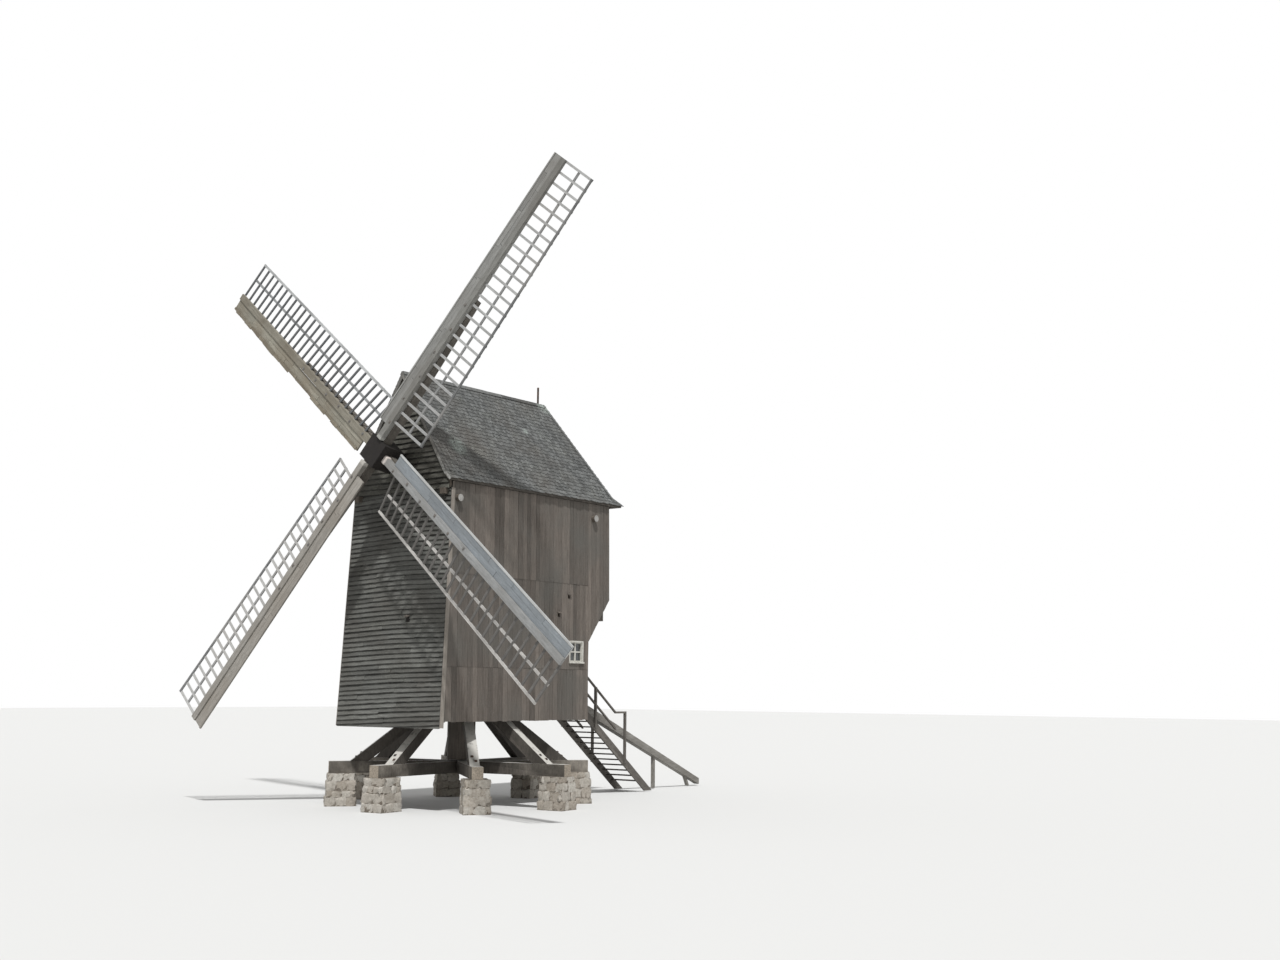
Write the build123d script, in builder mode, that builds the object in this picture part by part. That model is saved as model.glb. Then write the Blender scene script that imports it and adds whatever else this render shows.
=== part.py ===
from build123d import *
import os
from math import atan2, cos, degrees, radians, sin, tan

os.makedirs("parts", exist_ok=True)

# Post mill: the boarded body turns on one great post, which an eight-footed trestle holds up.
# Millimetres, Z up, the post's axis at the origin, ground at Z 0, sails towards -Y.

# Trestle
pier_height = 1000
pier_length = 780
pier_width = 680
pier_batter = 60
pier_radius = 3720
tree_reach = 4100
tree_width = 340
tree_depth = 360
trestle_turn = 6
post_apothem = 425
post_foot_gap = 40
post_top = 6900
bar_width = 300
bar_depth = 340
bar_foot_radius = 3445
bar_slope = 38

# Body
wall_thickness = 100
body_half_bottom = 2215
body_half_top = 2108
body_bottom = 2650
front_drop = 190
front_bottom_y = -3200
front_top_y = -2850
front_wall_top = 9700
rear_y = 3620
overhang_reach = 1130
overhang_low = 5200
overhang_high = 6660
post_clearance = 135
floor_top = 4300
floor_thickness = 60
sheer_spacing = 1680
sheer_width = 180
sheer_depth = 200
crown_width = 500
crown_height = 500
turning_gap = 0.3
pintle_radius = 140
pintle_height = 220
porch_half = 650
porch_wall = 100
door_width = 900
door_height = 1750
door_thickness = 50
window_size = 700
window_center_y = 3010
window_sill = 4490
window_frame_width = 70
window_frame_depth = 120
glass_thickness = 8
peephole_size = 110
front_peephole = (620, 5680)
side_peepholes = ((2640, 6630), (2130, 6010))
helper_margin = 500

# Roof
eave_z = 9920
eave_half = 2240
kink_half = 1990
kink_z = 10160
ridge_z = 13420
ridge_end_y = 3700
hip_kink_y = 5080
hip_eave_y = 5300
fascia = 80
roof_drop = 200
verge_y = -3010
gable_front_y = -2950
gable_back_y = -2860
gable_bottom = 9640
finial_radius = 35
finial_y = 3400
finial_height = 600

# Beams under the roof
plate_inner_half = 1790
plate_width = 200
plate_bottom = 9440
plate_top = 9620
plate_front_y = -3050
tie_radius = 110
tie_half_length = 2290
tie_front_y = -2640
tie_back_y = 3890
neck_beam_y = -2500
neck_beam_width = 420
neck_beam_top = 10300
tail_beam_y = 2880
tail_beam_width = 300
tail_beam_top = 9740
pendant_size = 160
pendant_bottom = 5920

# Sails and shaft
hub_y = -3800
hub_z = 10730
shaft_tilt = 8.25
sail_angle = 51.8
sail_reach = 10500
shaft_length = 6400
shaft_neck_radius = 260
shaft_tail_radius = 200
shaft_neck_length = 2400
shaft_clearance = 0.5
gable_clearance = 30
poll_size = 800
poll_depth = 760
stock_width = 320
stock_depth = 280
stock_spacing = 290
stock_half_length = 5600
stock_taper_start = 1500
stock_end_width = 300
stock_end_depth = 150
whip_width = 220
whip_depth = 170
whip_tip_depth = 90
whip_start = 430
lattice_start = 1100
lattice_width = 1420
lattice_heel_set = 300
lattice_tip_set = 45
sail_bar_count = 27
sail_bar_width = 75
sail_bar_depth = 40
hem_width = 75
hem_depth = 40
hem_lap = 12
board_start = 900
board_width = 400
board_thickness = 28
board_rail = 55
slot_width = 40
slot_start = 4300
slot_end = 5600
slotted_sail = 2

# Stair and tail pole
stair_slope = 37.2
stair_half = 700
stringer_width = 60
stringer_depth = 260
stair_foot_gap = 30
tread_rise = 195
tread_depth = 230
tread_thickness = 40
rail_height = 1130
rail_size = 70
rail_post_size = 80
rail_post_count = 3
rail_post_set = 60
rail_first_post_y = 4200
rail_bend_y = 7000
rail_end_y = 7600
pole_head_z = 3950
pole_slope = 21.8
pole_length = 10200
pole_head_size = 320
pole_tip_size = 220
pole_gap = 10
prop_width = 110
prop_near_inset = 2840
prop_far_inset = 900
prop_far_lean = 260
prop_foot_gap = 30

rear_top_y = rear_y + overhang_reach
overhang_turn = degrees(atan2(overhang_reach, overhang_high - overhang_low))
mitre = wall_thickness * tan(radians(overhang_turn / 2))
hull_top = ridge_z + helper_margin
front_lean = (front_top_y - front_bottom_y) / (front_wall_top - body_bottom)
front_foot_z = body_bottom - front_drop


def front_face_y(z):
    return front_bottom_y + (z - body_bottom) * front_lean


def side_face_x(z):
    share = (z - body_bottom) / (front_wall_top - body_bottom)
    return body_half_bottom + (body_half_top - body_half_bottom) * share


def side_prism(points, half):
    """A profile in Y and Z, run across the mill."""
    with BuildPart() as prism:
        with BuildSketch(Plane.YZ):
            with BuildLine():
                Polyline(*points, close=True)
            make_face()
        extrude(amount=half, both=True)
    return prism.part


def front_prism(points, y_from, y_to):
    """A profile in X and Z, run along the mill."""
    with BuildPart() as prism:
        with BuildSketch(Plane.XZ.offset(-y_to)):
            with BuildLine():
                Polyline(*points, close=True)
            make_face()
        extrude(amount=y_to - y_from)
    return prism.part


def leaning_sides(inset):
    foot = side_face_x(front_foot_z) - inset
    head = side_face_x(hull_top) - inset
    return [(-foot, front_foot_z), (foot, front_foot_z), (head, hull_top), (-head, hull_top)]


def box_between(low, high):
    with BuildPart() as block:
        with Locations([tuple(low)]):
            Box(*[b - a for a, b in zip(low, high)], align=(Align.MIN, Align.MIN, Align.MIN))
    return block.part


wide = body_half_bottom + helper_margin
hull_front_y = front_bottom_y - helper_margin
hull_rear_y = rear_top_y + helper_margin
body_sides = front_prism(leaning_sides(0), hull_front_y, hull_rear_y)
room_sides = front_prism(leaning_sides(wall_thickness), hull_front_y, hull_rear_y)

# Roof form: a side profile and an end profile, each with a kicked-out eave, crossed.


def roof_form(drop):
    across = [
        (0, ridge_z - drop),
        (-kink_half, kink_z - drop),
        (-eave_half, eave_z - drop),
        (-eave_half, eave_z - fascia - drop),
        (eave_half, eave_z - fascia - drop),
        (eave_half, eave_z - drop),
        (kink_half, kink_z - drop),
    ]
    along = [
        (verge_y, eave_z - fascia - drop),
        (hip_eave_y, eave_z - fascia - drop),
        (hip_eave_y, eave_z - drop),
        (hip_kink_y, kink_z - drop),
        (ridge_end_y, ridge_z - drop),
        (verge_y, ridge_z - drop),
    ]
    with BuildPart() as form:
        add(front_prism(across, verge_y, hip_eave_y))
        add(side_prism(along, eave_half), mode=Mode.INTERSECT)
    return form.part


roof_outside = roof_form(0)
with BuildPart() as attic:
    add(roof_form(roof_drop))
    add(box_between((-wide, verge_y, 0), (wide, hip_eave_y, eave_z - fascia)))
attic_space = attic.part

hip_share = (hip_eave_y - hip_kink_y) / (eave_half - kink_half)
with BuildPart() as hip_region:
    with BuildSketch(Plane.XY.offset(eave_z - helper_margin)):
        with BuildLine():
            hip_side_x = eave_half + helper_margin
            hip_corner_y = hip_eave_y + helper_margin * hip_share
            hip_far_y = hip_corner_y + helper_margin
            Polyline(
                (0, ridge_end_y),
                (kink_half, hip_kink_y),
                (hip_side_x, hip_corner_y),
                (hip_side_x, hip_far_y),
                (-hip_side_x, hip_far_y),
                (-hip_side_x, hip_corner_y),
                (-kink_half, hip_kink_y),
                close=True,
            )
        make_face()
    extrude(amount=ridge_z - eave_z + 2 * helper_margin)

with BuildPart() as roof_shell:
    add(roof_outside)
    add(roof_form(roof_drop), mode=Mode.SUBTRACT)

with BuildPart() as roof_hip:
    add(roof_shell.part)
    add(hip_region.part, mode=Mode.INTERSECT)
roof_hip.part.label = "roof_hip"
export_step(roof_hip.part, "parts/roof_hip.step")

with BuildPart() as roof_slopes:
    add(roof_shell.part)
    add(hip_region.part, mode=Mode.SUBTRACT)

with BuildPart() as roof_right:
    add(roof_slopes.part)
    split(bisect_by=Plane.YZ, keep=Keep.TOP)
roof_right.part.label = "roof_right"
export_step(roof_right.part, "parts/roof_right.step")

with BuildPart() as roof_left:
    add(roof_slopes.part)
    split(bisect_by=Plane.YZ, keep=Keep.BOTTOM)
roof_left.part.label = "roof_left"
export_step(roof_left.part, "parts/roof_left.step")

with BuildPart() as finial:
    with Locations((0, finial_y, ridge_z - 2 * finial_radius)):
        Cylinder(
            finial_radius,
            finial_height + 2 * finial_radius,
            align=(Align.CENTER, Align.CENTER, Align.MIN),
        )
    add(roof_outside, mode=Mode.SUBTRACT)
finial.part.label = "finial"
export_step(finial.part, "parts/finial.step")

# Trestle: piers, cross trees, quarter bars and the post


def radial_plane(angle):
    a = radians(angle)
    return Plane(origin=(0, 0, 0), x_dir=(cos(a), sin(a), 0), z_dir=(sin(a), -cos(a), 0))


foot_angles = [trestle_turn + 45 * k for k in range(8)]
tree_top = pier_height + tree_depth

with BuildPart() as stone_piers:
    for angle in foot_angles:
        with BuildSketch(Plane.XY.rotated((0, 0, angle))):
            with Locations((pier_radius, 0)):
                Rectangle(pier_length + 2 * pier_batter, pier_width + 2 * pier_batter)
        extrude(amount=pier_height, taper=degrees(atan2(pier_batter, pier_height)))
stone_piers.part.label = "stone_piers"
export_step(stone_piers.part, "parts/stone_piers.step")


def cross_tree(angle, half_joint):
    """A whole cross tree, halved over its partner: the joint is cut above or below."""
    with BuildPart() as tree:
        with BuildSketch(Plane.XY.offset(pier_height).rotated((0, 0, angle))):
            Rectangle(2 * tree_reach, tree_width)
        extrude(amount=tree_depth)
        with BuildSketch(Plane.XY.offset(pier_height + half_joint).rotated((0, 0, angle))):
            Rectangle(tree_width, tree_width)
        extrude(amount=tree_depth / 2, mode=Mode.SUBTRACT)
    return tree.part


cross_tree_lower = cross_tree(foot_angles[1], tree_depth / 2)
cross_tree_lower.label = "cross_tree_lower"
export_step(cross_tree_lower, "parts/cross_tree_lower.step")

cross_tree_upper = cross_tree(foot_angles[3], 0)
cross_tree_upper.label = "cross_tree_upper"
export_step(cross_tree_upper, "parts/cross_tree_upper.step")

with BuildPart() as cross_tree_arms:
    for angle in foot_angles[::2]:
        with BuildSketch(Plane.XY.offset(pier_height).rotated((0, 0, angle))):
            with Locations((tree_reach / 2, 0)):
                Rectangle(tree_reach, tree_width)
        extrude(amount=tree_depth)
    for angle in foot_angles[1:4:2]:
        with BuildSketch(Plane.XY.offset(pier_height).rotated((0, 0, angle))):
            Rectangle(2 * tree_reach, tree_width)
        extrude(amount=tree_depth, mode=Mode.SUBTRACT)
cross_tree_arms.part.label = "cross_tree_arms"
export_step(cross_tree_arms.part, "parts/cross_tree_arms.step")

bar_rise = tan(radians(bar_slope))
bar_upright = bar_depth / cos(radians(bar_slope))
bar_head_z = tree_top + (bar_foot_radius - post_apothem) * bar_rise

with BuildPart() as quarter_bars:
    for angle in foot_angles:
        with BuildSketch(radial_plane(angle)):
            with BuildLine():
                Polyline(
                    (post_apothem, bar_head_z),
                    (bar_foot_radius, tree_top),
                    (bar_foot_radius - bar_upright / bar_rise, tree_top),
                    (post_apothem, bar_head_z - bar_upright),
                    close=True,
                )
            make_face()
        extrude(amount=bar_width / 2, both=True)
quarter_bars.part.label = "quarter_bars"
export_step(quarter_bars.part, "parts/quarter_bars.step")

with BuildPart() as main_post:
    with BuildSketch(Plane.XY.offset(tree_top + post_foot_gap)):
        RegularPolygon(
            post_apothem,
            len(foot_angles),
            major_radius=False,
            rotation=(foot_angles[0] + foot_angles[1]) / 2,
        )
    extrude(amount=post_top - tree_top - post_foot_gap)
    with BuildSketch(Plane.XY.offset(post_top)):
        Circle(pintle_radius)
    extrude(amount=pintle_height)
main_post.part.label = "main_post"
export_step(main_post.part, "parts/main_post.step")

# Body walls, cut from one leaning hull

with BuildPart() as tie_beams:
    for y in (tie_front_y, tie_back_y):
        with BuildSketch(Plane.YZ.offset(-tie_half_length)):
            with Locations((y, plate_bottom - tie_radius)):
                Circle(tie_radius)
        extrude(amount=2 * tie_half_length)
tie_beams.part.label = "tie_beams"
export_step(tie_beams.part, "parts/tie_beams.step")

with BuildPart() as wall_plates:
    for side in (-1, 1):
        with BuildSketch(Plane.XZ.offset(-(rear_top_y - wall_thickness))):
            with Locations((side * (plate_inner_half + plate_width / 2), (plate_bottom + plate_top) / 2)):
                Rectangle(plate_width, plate_top - plate_bottom)
        extrude(amount=rear_top_y - wall_thickness - plate_front_y)
wall_plates.part.label = "wall_plates"
export_step(wall_plates.part, "parts/wall_plates.step")

front_outline = [
    (front_face_y(front_foot_z), front_foot_z),
    (front_face_y(front_foot_z) + wall_thickness, front_foot_z),
    (front_top_y + wall_thickness, front_wall_top),
    (front_top_y, front_wall_top),
]
with BuildPart() as front_wall:
    add(side_prism(front_outline, wide))
    add(body_sides, mode=Mode.INTERSECT)
    add(wall_plates.part, mode=Mode.SUBTRACT)
    with BuildSketch(Plane.XZ):
        with Locations(front_peephole):
            Rectangle(peephole_size, peephole_size)
    extrude(amount=-hull_front_y, mode=Mode.SUBTRACT)
front_wall.part.label = "front_wall"
export_step(front_wall.part, "parts/front_wall.step")

inner_rear_y = rear_y - wall_thickness
inner_top_y = rear_top_y - wall_thickness
side_outline = [
    (front_face_y(body_bottom) + wall_thickness, body_bottom),
    (inner_rear_y, body_bottom),
    (inner_rear_y, overhang_low + mitre),
    (inner_top_y, overhang_high + mitre),
    (inner_top_y, hull_top),
    (front_face_y(hull_top) + wall_thickness, hull_top),
]
with BuildPart() as side_walls:
    add(side_prism(side_outline, wide))
    add(body_sides, mode=Mode.INTERSECT)
    add(room_sides, mode=Mode.SUBTRACT)
    add(attic_space, mode=Mode.INTERSECT)
    add(tie_beams.part, mode=Mode.SUBTRACT)
    with BuildSketch(Plane.YZ):
        with Locations((window_center_y, window_sill + window_size / 2)):
            Rectangle(window_size, window_size)
    extrude(amount=wide, both=True, mode=Mode.SUBTRACT)

with BuildPart() as side_wall_right:
    add(side_walls.part)
    split(bisect_by=Plane.YZ, keep=Keep.TOP)
    with BuildSketch(Plane.YZ):
        with Locations(*side_peepholes):
            Rectangle(peephole_size, peephole_size)
    extrude(amount=wide, mode=Mode.SUBTRACT)
side_wall_right.part.label = "side_wall_right"
export_step(side_wall_right.part, "parts/side_wall_right.step")

with BuildPart() as side_wall_left:
    add(side_walls.part)
    split(bisect_by=Plane.YZ, keep=Keep.BOTTOM)
side_wall_left.part.label = "side_wall_left"
export_step(side_wall_left.part, "parts/side_wall_left.step")

porch_outer = porch_half + porch_wall
porch_ceiling_z = overhang_high + mitre
lower_outline = [
    (inner_rear_y, body_bottom),
    (rear_y, body_bottom),
    (rear_y, overhang_low),
    (inner_rear_y, overhang_low + mitre),
]
with BuildPart() as back_wall_lower:
    add(side_prism(lower_outline, wide))
    add(body_sides, mode=Mode.INTERSECT)
    add(
        box_between(
            (-porch_outer, inner_rear_y, overhang_low - wall_thickness),
            (porch_outer, rear_y, porch_ceiling_z),
        )
    )
    with BuildSketch(Plane.XZ.offset(-rear_y)):
        with Locations((0, floor_top + door_height / 2)):
            Rectangle(door_width, door_height)
    extrude(amount=wall_thickness, mode=Mode.SUBTRACT)
back_wall_lower.part.label = "back_wall_lower"
export_step(back_wall_lower.part, "parts/back_wall_lower.step")

with BuildPart() as rear_pendants:
    for side in (-1, 1):
        inner_x = min(side_face_x(plate_bottom), side_face_x(pendant_bottom)) - wall_thickness
        with Locations((side * (inner_x - pendant_size / 2), inner_top_y - pendant_size / 2, pendant_bottom)):
            Box(
                pendant_size,
                pendant_size,
                plate_bottom - 2 * tie_radius - pendant_bottom,
                align=(Align.CENTER, Align.CENTER, Align.MIN),
            )
rear_pendants.part.label = "rear_pendants"
export_step(rear_pendants.part, "parts/rear_pendants.step")

soffit_outline = [
    (rear_y, overhang_low),
    (rear_top_y, overhang_high),
    (inner_top_y, overhang_high + mitre),
    (inner_rear_y, overhang_low + mitre),
]
with BuildPart() as overhang_soffit:
    add(side_prism(soffit_outline, wide))
    add(body_sides, mode=Mode.INTERSECT)
    add(box_between((-porch_outer, 0, 0), (porch_outer, hull_rear_y, hull_top)), mode=Mode.SUBTRACT)
    add(rear_pendants.part, mode=Mode.SUBTRACT)
overhang_soffit.part.label = "overhang_soffit"
export_step(overhang_soffit.part, "parts/overhang_soffit.step")

cheek_outline = [
    (rear_y, overhang_low),
    (rear_top_y, overhang_high),
    (rear_top_y, overhang_high + mitre),
    (rear_y, porch_ceiling_z),
]
with BuildPart() as entrance_porch:
    add(side_prism(cheek_outline, porch_outer))
    add(
        box_between((-porch_half, 0, 0), (porch_half, hull_rear_y, hull_top)),
        mode=Mode.SUBTRACT,
    )
    add(
        box_between(
            (-porch_outer, inner_rear_y, porch_ceiling_z),
            (porch_outer, inner_top_y, porch_ceiling_z + floor_thickness),
        )
    )
entrance_porch.part.label = "entrance_porch"
export_step(entrance_porch.part, "parts/entrance_porch.step")

upper_outline = [
    (inner_top_y, overhang_high + mitre),
    (rear_top_y, overhang_high + mitre),
    (rear_top_y, hull_top),
    (inner_top_y, hull_top),
]
with BuildPart() as back_wall_upper:
    add(side_prism(upper_outline, wide))
    add(body_sides, mode=Mode.INTERSECT)
    add(attic_space, mode=Mode.INTERSECT)
back_wall_upper.part.label = "back_wall_upper"
export_step(back_wall_upper.part, "parts/back_wall_upper.step")

with BuildPart() as entrance_door:
    with Locations((0, rear_y - wall_thickness / 2, floor_top)):
        Box(door_width, door_thickness, door_height, align=(Align.CENTER, Align.CENTER, Align.MIN))
entrance_door.part.label = "entrance_door"
export_step(entrance_door.part, "parts/entrance_door.step")

# Windows: a frame set in each side wall, with one sheet of glass
window_mid = window_sill + window_size / 2
wall_out_x = side_face_x(window_mid)
with BuildPart() as window_frames:
    for side in (-1, 1):
        with BuildSketch(Plane.YZ.offset(side * (wall_out_x - wall_thickness / 2))):
            with Locations((window_center_y, window_mid)):
                Rectangle(window_size, window_size)
                Rectangle(
                    window_size - 2 * window_frame_width,
                    window_size - 2 * window_frame_width,
                    mode=Mode.SUBTRACT,
                )
        extrude(amount=window_frame_depth / 2, both=True)
window_frames.part.label = "window_frames"
export_step(window_frames.part, "parts/window_frames.step")

with BuildPart() as window_glass:
    for side in (-1, 1):
        with Locations((side * (wall_out_x - wall_thickness / 2), window_center_y, window_mid)):
            Box(
                glass_thickness,
                window_size - 2 * window_frame_width,
                window_size - 2 * window_frame_width,
            )
window_glass.part.label = "window_glass"
export_step(window_glass.part, "parts/window_glass.step")

# Floor and the beams that carry the body on the post
room_outline = [
    (front_face_y(body_bottom) + wall_thickness, body_bottom),
    (inner_rear_y, body_bottom),
    (inner_rear_y, overhang_low),
    (inner_rear_y, front_wall_top),
    (front_face_y(front_wall_top) + wall_thickness, front_wall_top),
]
with BuildPart() as room:
    add(side_prism(room_outline, wide))
    add(room_sides, mode=Mode.INTERSECT)

with BuildPart() as floor:
    add(box_between((-wide, front_bottom_y, floor_top - floor_thickness), (wide, rear_y, floor_top)))
    add(room.part, mode=Mode.INTERSECT)
    with BuildSketch(Plane.XY.offset(floor_top)):
        RegularPolygon(
            post_apothem + post_clearance,
            len(foot_angles),
            major_radius=False,
            rotation=(foot_angles[0] + foot_angles[1]) / 2,
        )
    extrude(amount=-floor_thickness, mode=Mode.SUBTRACT)
floor.part.label = "floor"
export_step(floor.part, "parts/floor.step")

sheer_top = floor_top - floor_thickness
with BuildPart() as floor_beams:
    for side in (-1, 1):
        inner_x = side * sheer_spacing / 2 - sheer_width / 2
        add(
            box_between(
                (inner_x, front_bottom_y, sheer_top - sheer_depth),
                (inner_x + sheer_width, rear_y, sheer_top),
            )
        )
    add(room.part, mode=Mode.INTERSECT)
floor_beams.part.label = "floor_beams"
export_step(floor_beams.part, "parts/floor_beams.step")

with BuildPart() as crown_tree:
    add(
        box_between(
            (-wide, -crown_width / 2, post_top + turning_gap),
            (wide, crown_width / 2, post_top + turning_gap + crown_height),
        )
    )
    add(room.part, mode=Mode.INTERSECT)
    with BuildSketch(Plane.XY.offset(post_top)):
        Circle(pintle_radius + turning_gap)
    extrude(amount=pintle_height + 2 * turning_gap, mode=Mode.SUBTRACT)
crown_tree.part.label = "crown_tree"
export_step(crown_tree.part, "parts/crown_tree.step")

# Shaft, tilted up towards the sails
tilt = radians(shaft_tilt)
shaft_plane = Plane(origin=(0, hub_y, hub_z), x_dir=(1, 0, 0), z_dir=(0, -cos(tilt), sin(tilt)))


def shaft_form(clearance):
    """The shaft turned about its axis: an even neck, then a taper to the tail."""
    neck_end = poll_depth / 2 + shaft_neck_length
    tail_end = poll_depth / 2 + shaft_length + clearance
    with BuildPart() as turned:
        with BuildSketch(Plane(origin=shaft_plane.origin, x_dir=-shaft_plane.z_dir, z_dir=(1, 0, 0))):
            with BuildLine():
                Polyline(
                    (poll_depth / 2, 0),
                    (poll_depth / 2, shaft_neck_radius + clearance),
                    (neck_end, shaft_neck_radius + clearance),
                    (tail_end, shaft_tail_radius + clearance),
                    (tail_end, 0),
                    close=True,
                )
            make_face()
        revolve(axis=Axis(shaft_plane.origin, shaft_plane.z_dir))
    return turned.part


windshaft = shaft_form(0)
windshaft.label = "windshaft"
export_step(windshaft, "parts/windshaft.step")

with BuildPart() as neck_beam:
    add(
        box_between(
            (-plate_inner_half - plate_width, neck_beam_y - neck_beam_width / 2, plate_top),
            (plate_inner_half + plate_width, neck_beam_y + neck_beam_width / 2, neck_beam_top),
        )
    )
    add(attic_space, mode=Mode.INTERSECT)
    add(shaft_form(shaft_clearance), mode=Mode.SUBTRACT)
neck_beam.part.label = "neck_beam"
export_step(neck_beam.part, "parts/neck_beam.step")

with BuildPart() as tail_beam:
    add(
        box_between(
            (-plate_inner_half, tail_beam_y - tail_beam_width / 2, plate_bottom),
            (plate_inner_half, tail_beam_y + tail_beam_width / 2, tail_beam_top),
        )
    )
    add(shaft_form(shaft_clearance), mode=Mode.SUBTRACT)
tail_beam.part.label = "tail_beam"
export_step(tail_beam.part, "parts/tail_beam.step")

with BuildPart() as gable_front:
    add(box_between((-wide, gable_front_y, gable_bottom), (wide, gable_back_y, ridge_z)))
    add(attic_space, mode=Mode.INTERSECT)
    add(body_sides, mode=Mode.INTERSECT)
    with BuildSketch(shaft_plane.offset(-poll_depth / 2)):
        Circle(shaft_neck_radius + gable_clearance)
    extrude(amount=-shaft_neck_length, mode=Mode.SUBTRACT)
gable_front.part.label = "gable_front"
export_step(gable_front.part, "parts/gable_front.step")


# Sails: each sail's plane has X along the whip, Y to the leading side and Z forwards


def sail_plane(index, lift=0):
    a = radians(sail_angle + 90 * index)
    reach = (cos(a), sin(a) * sin(tilt), sin(a) * cos(tilt))
    return Plane(origin=shaft_plane.origin, x_dir=reach, z_dir=shaft_plane.z_dir).offset(lift)


def stock_center(index):
    return stock_spacing / 2 if index % 2 == 0 else -stock_spacing / 2


def edge_plane(index, offset):
    """X along the whip, Y forwards, at a distance to the leading side."""
    flat = sail_plane(index)
    origin = flat.origin + flat.y_dir * offset
    return Plane(origin=origin, x_dir=flat.x_dir, z_dir=-flat.y_dir)


def stock(index):
    """A timber through the poll end, straight in front and tapered to both ends behind and at its sides."""
    front = stock_center(index) + stock_depth / 2
    with BuildPart() as timber:
        with BuildSketch(edge_plane(index, 0)):
            with BuildLine():
                Polyline(
                    (-stock_half_length, front),
                    (-stock_half_length, front - stock_end_depth),
                    (-stock_taper_start, front - stock_depth),
                    (stock_taper_start, front - stock_depth),
                    (stock_half_length, front - stock_end_depth),
                    (stock_half_length, front),
                    close=True,
                )
            make_face()
        extrude(amount=stock_width / 2, both=True)
        with BuildSketch(sail_plane(index, front - stock_depth)):
            with BuildLine():
                Polyline(
                    (-stock_half_length, -stock_end_width / 2),
                    (-stock_taper_start, -stock_width / 2),
                    (stock_taper_start, -stock_width / 2),
                    (stock_half_length, -stock_end_width / 2),
                    (stock_half_length, stock_end_width / 2),
                    (stock_taper_start, stock_width / 2),
                    (-stock_taper_start, stock_width / 2),
                    (-stock_half_length, stock_end_width / 2),
                    close=True,
                )
            make_face()
        extrude(amount=stock_depth, mode=Mode.INTERSECT)
    return timber.part


with BuildPart() as stocks:
    for index in (0, 1):
        add(stock(index))
stocks.part.label = "stocks"
export_step(stocks.part, "parts/stocks.step")

with BuildPart() as poll_end:
    with BuildSketch(sail_plane(0, -poll_depth / 2)):
        Rectangle(poll_size, poll_size)
    extrude(amount=poll_depth)
    add(stocks.part, mode=Mode.SUBTRACT)
poll_end.part.label = "poll_end"
export_step(poll_end.part, "parts/poll_end.step")


def whip_seat(index):
    return stock_center(index) + stock_depth / 2


def whip(index):
    back = whip_seat(index)
    with BuildPart() as timber:
        with BuildSketch(edge_plane(index, 0)):
            with BuildLine():
                Polyline(
                    (whip_start, back),
                    (stock_half_length, back),
                    (sail_reach, back + whip_depth - whip_tip_depth),
                    (sail_reach, back + whip_depth),
                    (whip_start, back + whip_depth),
                    close=True,
                )
            make_face()
        extrude(amount=whip_width / 2, both=True)
    return timber.part


def set_back(reach):
    share = (reach - lattice_start) / (sail_reach - lattice_start)
    return lattice_heel_set + (lattice_tip_set - lattice_heel_set) * share


def rod(index, across, proud):
    """A hemlath: a straight rod along the sail, proud of the front of the bars, or behind it if negative."""
    share = (across - whip_width / 2) / (lattice_width - whip_width / 2)
    front = whip_seat(index) + whip_depth / 2 + proud
    with BuildPart() as lath:
        with BuildSketch(edge_plane(index, -across)):
            with BuildLine():
                Polyline(
                    (lattice_start, front - share * set_back(lattice_start)),
                    (sail_reach, front - share * set_back(sail_reach)),
                    (sail_reach, front - share * set_back(sail_reach) - hem_depth),
                    (lattice_start, front - share * set_back(lattice_start) - hem_depth),
                    close=True,
                )
            make_face()
        extrude(amount=hem_width / 2, both=True)
    return lath.part


def lattice(index):
    front = whip_seat(index) + whip_depth / 2
    pitch = (sail_reach - lattice_start - sail_bar_width) / (sail_bar_count - 1)
    flat = sail_plane(index)
    with BuildPart() as frame:
        for number in range(sail_bar_count):
            reach = lattice_start + sail_bar_width / 2 + pitch * number
            drop = set_back(reach)
            station = Plane(
                origin=flat.origin + flat.x_dir * reach,
                x_dir=-flat.y_dir,
                z_dir=-flat.x_dir,
            )
            with BuildSketch(station):
                with BuildLine():
                    Polyline(
                        (whip_width / 2, front),
                        (whip_width / 2, front - sail_bar_depth),
                        (lattice_width, front - drop - sail_bar_depth),
                        (lattice_width, front - drop),
                        close=True,
                    )
                make_face()
            extrude(amount=sail_bar_width / 2, both=True)
        add(rod(index, lattice_width - hem_width / 2, hem_lap))
        add(rod(index, (lattice_width + whip_width / 2) / 2, hem_depth - sail_bar_depth - hem_lap))
    return frame.part


def leading_board(index):
    low = whip_seat(index) + whip_depth / 2
    near = whip_width / 2
    far = near + board_width
    with BuildPart() as board:
        with BuildSketch(sail_plane(index, low)):
            with Locations(((board_start + sail_reach) / 2, (near + far) / 2)):
                Rectangle(sail_reach - board_start, board_width)
            if index + 1 == slotted_sail:
                with Locations(((slot_start + slot_end) / 2, near + slot_width / 2)):
                    Rectangle(slot_end - slot_start, slot_width, mode=Mode.SUBTRACT)
        extrude(amount=board_thickness)
        with BuildSketch(sail_plane(index, low)):
            with Locations(((board_start + sail_reach) / 2, far - board_rail / 2)):
                Rectangle(sail_reach - board_start, board_rail)
        extrude(amount=board_rail)
    return board.part


for index in range(4):
    for name, make in (("whip", whip), ("lattice", lattice), ("leading_board", leading_board)):
        piece = make(index)
        piece.label = f"{name}_{index + 1}"
        export_step(piece, f"parts/{piece.label}.step")

# Tail pole, its props and the stair
pole_rise = tan(radians(pole_slope))
pole_reach = pole_length * cos(radians(pole_slope))
pole_end_y = rear_y + pole_reach


def pole_center_z(y):
    return pole_head_z - (y - rear_y) * pole_rise


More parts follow.
